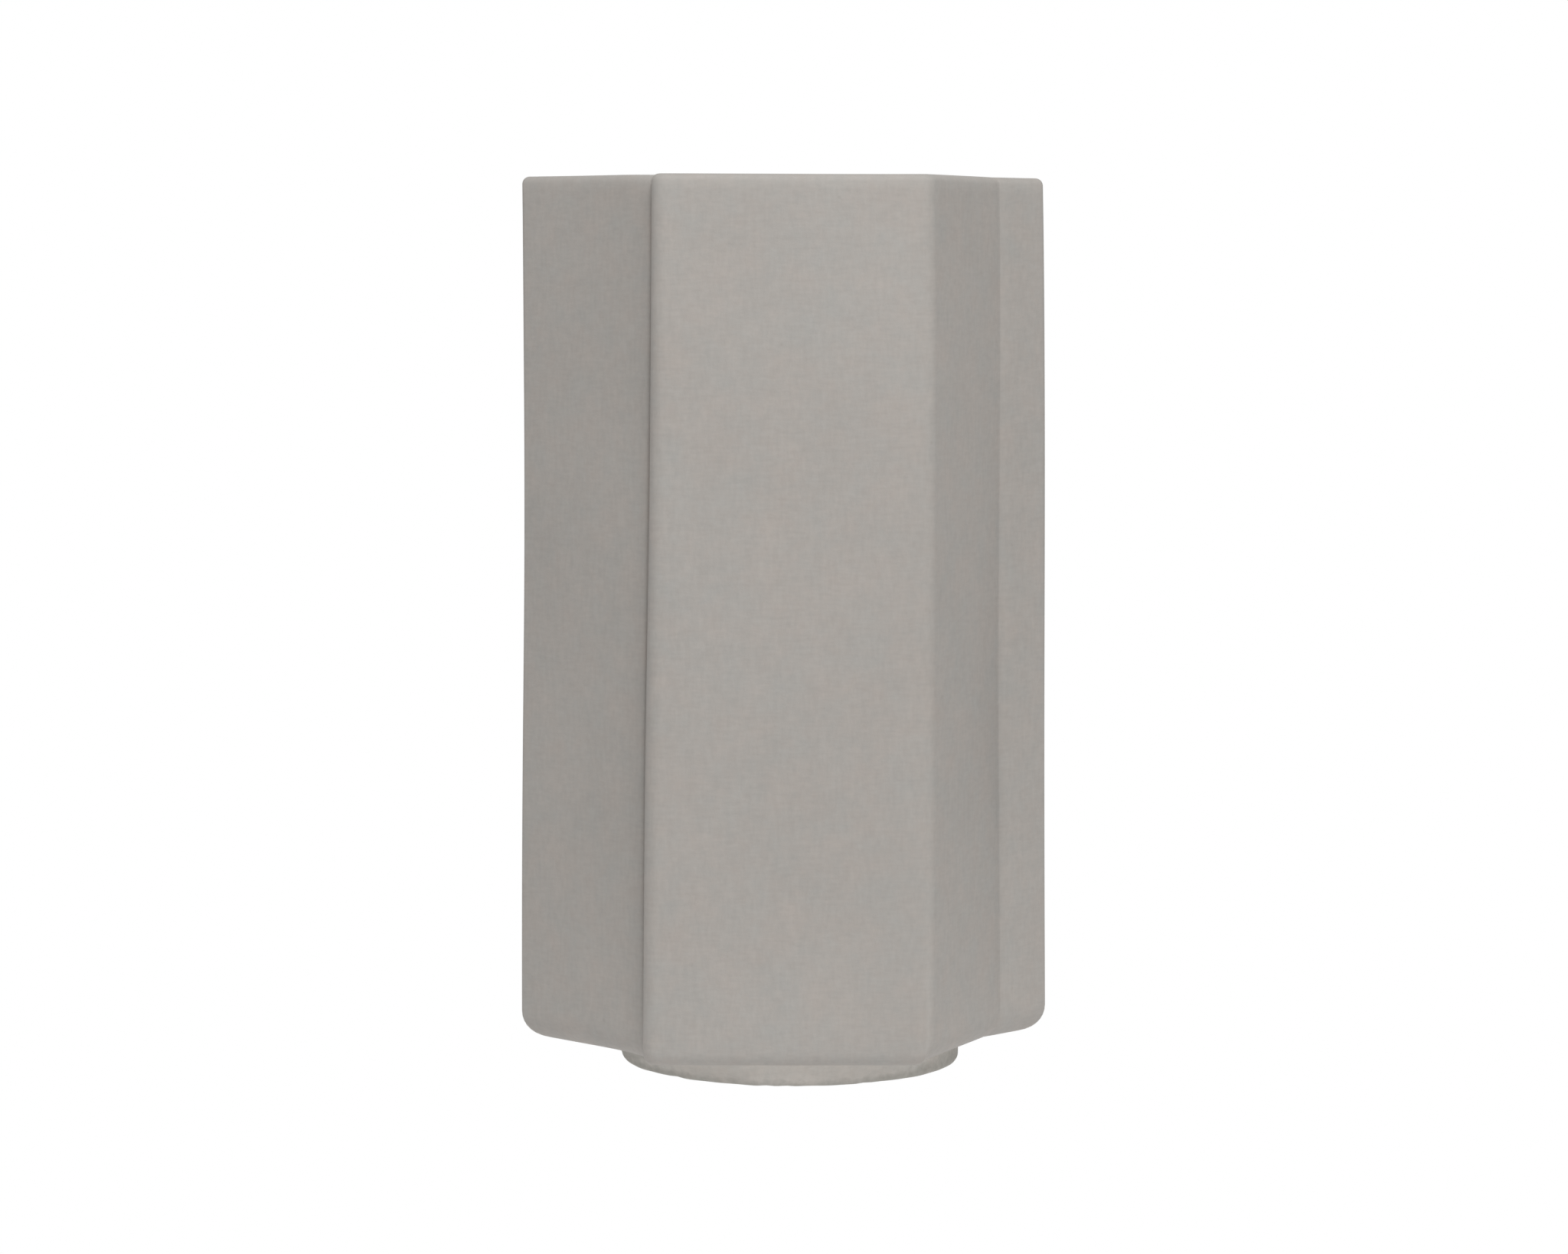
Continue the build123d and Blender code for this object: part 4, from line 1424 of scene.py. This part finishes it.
@dataclass
class WallFixing:
    """Bar on the wall with its screws and plugs."""

    spacing: float = 0.064
    screw_radius: float = 0.0023
    screw_core: float = 0.0016
    screw_pitch: float = 0.0018
    screw_head_radius: float = 0.0046
    screw_neck: float = 0.004  # plain shank under the head
    thread_end: float = 0.0006
    thread_sharpness: float = 3.0  # how narrow the thread's ridge is, to its pitch
    point_length: float = 0.005
    point_radius: float = 0.0004
    recess_length: float = 0.005
    recess_width: float = 0.0011
    recess_depth: float = 0.002
    plug_radius: float = 0.004
    plug_bore: float = 0.0024
    plug_floor: float = 0.002
    plug_collar: float = 0.003
    plug_taper: float = 0.0015
    rib_pitch: float = 0.0032
    rib_depth: float = 0.0005
    slot_depth: float = 0.0011
    slot_width: float = 0.16
    slot_middle: float = 0.55  # share of the plug's length at which the slots are deepest
    slot_reach: float = 0.3
    slot_flatness: float = 0.25
    bar_edge_break: float = 0.0003
    face_rows: int = 40
    thread_rows: int = 9  # rows per turn
    screw_columns: int = 120
    plug_rows: int = 130
    plug_columns: int = 96

    def build(self) -> None:
        """Makes the screws and plugs on both sides and dresses the bar."""
        parts = (
            TurnedPart("wall_screw", "wall_screws", ZINC_PLATE, self.screw()),
            TurnedPart("wall_plug", "wall_plugs", PLUG_NYLON, self.plug()),
        )
        build_pairs(parts, self.spacing, 0.0, Body.WALL_MOUNT)
        dress_node("wall_bar", BAR_ALUMINIUM, self.bar_edge_break)

    def screw(self) -> Turned:
        """Countersunk screw with a cross recess and a coarse thread.

        Over the head, the recess sinks by its depth within half a width of either arm's middle line, with
        soft walls, and its arms shelve upwards from the middle to their ends.

        Returns:
            Radius, distance along Y and angle.
        """
        head, end = (corner.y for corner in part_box("wall_screws"))
        rim, core, soft = self.screw_head_radius, self.screw_core, 2 * EDGE_STEP
        cone_end = head + rim - self.screw_radius
        thread_start, thread_end = cone_end + self.screw_neck, end - self.thread_end
        thread = threaded(thread_start, thread_end, self.screw_pitch, self.thread_rows)
        face = np.linspace(0, 1, self.face_rows) * (rim - soft)
        neck_radius = [rim, rim, core + soft, core + soft]
        neck_y = [head + soft, head + 2 * soft, cone_end, thread[0]]
        tip = [soft, 0]
        radius = np.concatenate([face, neck_radius, np.full_like(thread, core), tip])
        along = np.concatenate([np.full_like(face, head), neck_y, thread, [end, end]])
        radius, y, angle = turned(radius, along, self.screw_columns)
        across, up = np.abs(radius * np.cos(angle)), np.abs(radius * np.sin(angle))
        off_arm, down_arm = np.minimum(across, up), np.maximum(across, up)
        walls = np.clip((self.recess_width / 2 + EDGE_STEP - off_arm) / soft, 0, 1)
        floor = np.clip(1 - down_arm / (self.recess_length / 2), 0, 1)
        row = np.arange(len(along))[:, None]
        y = y + (row < len(face)) * walls * self.recess_depth * np.sqrt(floor)
        taper = np.clip((end - y) / self.point_length, self.point_radius / self.screw_radius, 1)
        groove = self.thread_sharpness * thread_cut(y, angle, self.screw_pitch, 1.0)
        ridge = (self.screw_radius - core) * np.maximum(1 - groove, 0)
        on_thread = (row >= len(face) + len(neck_y)) & (row < len(along) - len(tip))
        return np.where(on_thread, (radius + ridge) * taper, radius), y, angle

    def plug(self) -> Turned:
        """Wall plug: a bored sleeve with a plain collar, saw-tooth ribs, four long slots and a tapered tip.

        Returns:
            Radius, distance along Y and angle.
        """
        start, end = (corner.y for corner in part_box("wall_plugs"))
        outside = np.linspace(start + 2 * EDGE_STEP, end - self.plug_taper, self.plug_rows)
        bore, bore_end = self.plug_bore, end - self.plug_floor
        sleeve = np.full_like(outside, self.plug_radius)
        bored, tip = [0, bore, bore], [self.plug_radius - self.plug_taper, 0]
        radius = np.concatenate([bored, sleeve, tip])
        along = np.concatenate([[bore_end, bore_end, start], outside, [end, end]])
        radius, y, angle = turned(radius, along, self.plug_columns)
        beyond = y - start - self.plug_collar
        row = np.arange(len(along))[:, None]
        ribbed = (row >= len(bored)) & (row < len(along) - len(tip)) & (beyond > 0)
        ribs = self.rib_depth * ((beyond / self.rib_pitch) % 1.0)
        lengthways = bump_at((y - start) / (end - start) - self.slot_middle, self.slot_reach) ** self.slot_flatness
        slots = self.slot_depth * bump_at(off_nearest(angle, QUARTER_TURN), self.slot_width) * lengthways
        return radius - ribbed * np.maximum(ribs, slots), y, angle


# Studio


MID_VASE = (0.0, -0.08, -0.06)


@dataclass(frozen=True)
class SoftLamp:
    """Rectangular soft light, aimed at a point."""

    name: str
    place: Point
    aim: Point
    size: Span
    power: float

    def build(self) -> None:
        """Hangs the lamp."""
        lamp = bpy.data.lights.new(self.name, "AREA")
        lamp.shape = "RECTANGLE"
        lamp.size, lamp.size_y = self.size
        lamp.energy = self.power
        holder = bpy.data.objects.new(self.name, lamp)
        holder.visible_camera = False
        holder.location = self.place
        holder.rotation_euler = (Vector(self.aim) - Vector(self.place)).to_track_quat("-Z", "Y").to_euler()
        bpy.context.scene.collection.objects.link(holder)


@dataclass
class Studio:
    """White room round the hanging vase: a pale floor well below it, soft lamps and the camera."""

    floor_z: float = -1.15
    floor_radius: float = 1.8
    floor_fade: float = 0.9  # distance from the middle at which the floor starts to fade into the white room
    floor_gone: float = 1.764
    floor_colour: Colour = (0.86, 0.86, 0.86)
    floor_rings: int = 5
    floor_columns: int = 96
    room_colour: Colour = (1.0, 1.0, 1.0)
    room_light: float = 0.56
    lens: float = 99.73
    sensor: float = 36.0
    camera_place: Point = (-0.0001, -1.2328, 0.0358)
    camera_pitch: float = math.radians(4.662)
    lamps: tuple[SoftLamp, ...] = (
        SoftLamp("key_softbox", (0.08, -0.62, 0.55), MID_VASE, (0.3, 0.4), 2.8),
        SoftLamp("front_fill", (0.0, -2.3, -0.25), MID_VASE, (1.0, 0.6), 4.1),
        SoftLamp("right_fill", (1.6, -1.6, 0.10), MID_VASE, (0.8, 0.8), 1.75),
        SoftLamp("table_bounce", (0.0, -0.065, -0.195), (0.0, -0.065, 0.0), (0.36, 0.32), 0.083),
        SoftLamp("right_bounce", (0.13, -0.16, -0.205), (0.05, -0.09, -0.165), (0.08, 0.1), 0.011),
    )

    def build(self) -> None:
        """Sets up the room, the lamps and the camera."""
        scene = bpy.context.scene
        scene.view_settings.view_transform = "Standard"
        self.room()
        self.floor()
        for lamp in self.lamps:
            lamp.build()
        camera = bpy.data.cameras.new("photo_camera")
        camera.sensor_width = self.sensor
        camera.lens = self.lens
        holder = bpy.data.objects.new("photo_camera", camera)
        holder.location = self.camera_place
        holder.rotation_euler = (QUARTER_TURN - self.camera_pitch, 0.0, 0.0)
        scene.collection.objects.link(holder)
        scene.camera = holder

    def room(self) -> None:
        """World that looks white to the camera and in reflections, and lights the vase at a lower level."""
        world = bpy.data.worlds.new("white_room")
        sheet = NodeSheet.cleared(world)
        path = sheet.add("ShaderNodeLightPath").outputs
        seen = sheet.math("MAXIMUM", path["Is Camera Ray"], path["Is Glossy Ray"])
        seen = sheet.math("MAXIMUM", seen, path["Is Transmission Ray"])
        strength = sheet.spread(seen, 0.0, 1.0, self.room_light, 1.0)
        background = sheet.add("ShaderNodeBackground", {"Color": with_alpha(self.room_colour), "Strength": strength})
        sheet.add("ShaderNodeOutputWorld", {"Surface": background.outputs[0]})
        bpy.context.scene.world = world

    def floor(self) -> None:
        """Round pale floor that keeps the vase's shadow and fades out towards its edge."""
        ring = np.linspace(0, self.floor_radius, self.floor_rings)
        radius, height, angle = turned(ring, np.full_like(ring, self.floor_z), self.floor_columns)
        points = np.stack([radius * np.cos(angle), radius * np.sin(angle), height], axis=-1)
        floor = SkinGrid(points).piece("studio_floor")
        material = bpy.data.materials.new("pale_floor")
        sheet = NodeSheet.cleared(material)
        level = sheet.place((1.0, 1.0, 0.0))
        reach = sheet.add("ShaderNodeVectorMath", {0: level}, operation="LENGTH").outputs["Value"]
        share = sheet.spread(reach, self.floor_fade, self.floor_gone, 0.0, 1.0)
        matt = sheet.add("ShaderNodeBsdfDiffuse", {"Color": with_alpha(self.floor_colour)})
        clear = sheet.add("ShaderNodeBsdfTransparent")
        faded = sheet.add("ShaderNodeMixShader", {0: share, 1: matt.outputs[0], 2: clear.outputs[0]})
        sheet.add("ShaderNodeOutputMaterial", {"Surface": faded.outputs[0]})
        floor.data.materials.append(material)


def main() -> None:
    """Builds the vase's sub-assemblies in order, then the studio."""
    logging.basicConfig(level=logging.INFO, format="%(name)s: %(message)s")
    for assembly in (StonewareVessel(), FootRing(), HangerSet(), WallPads(), WallFixing(), Studio()):
        assembly.build()
        log.info("%s is done", type(assembly).__name__)


if __name__ == "__main__":
    main()
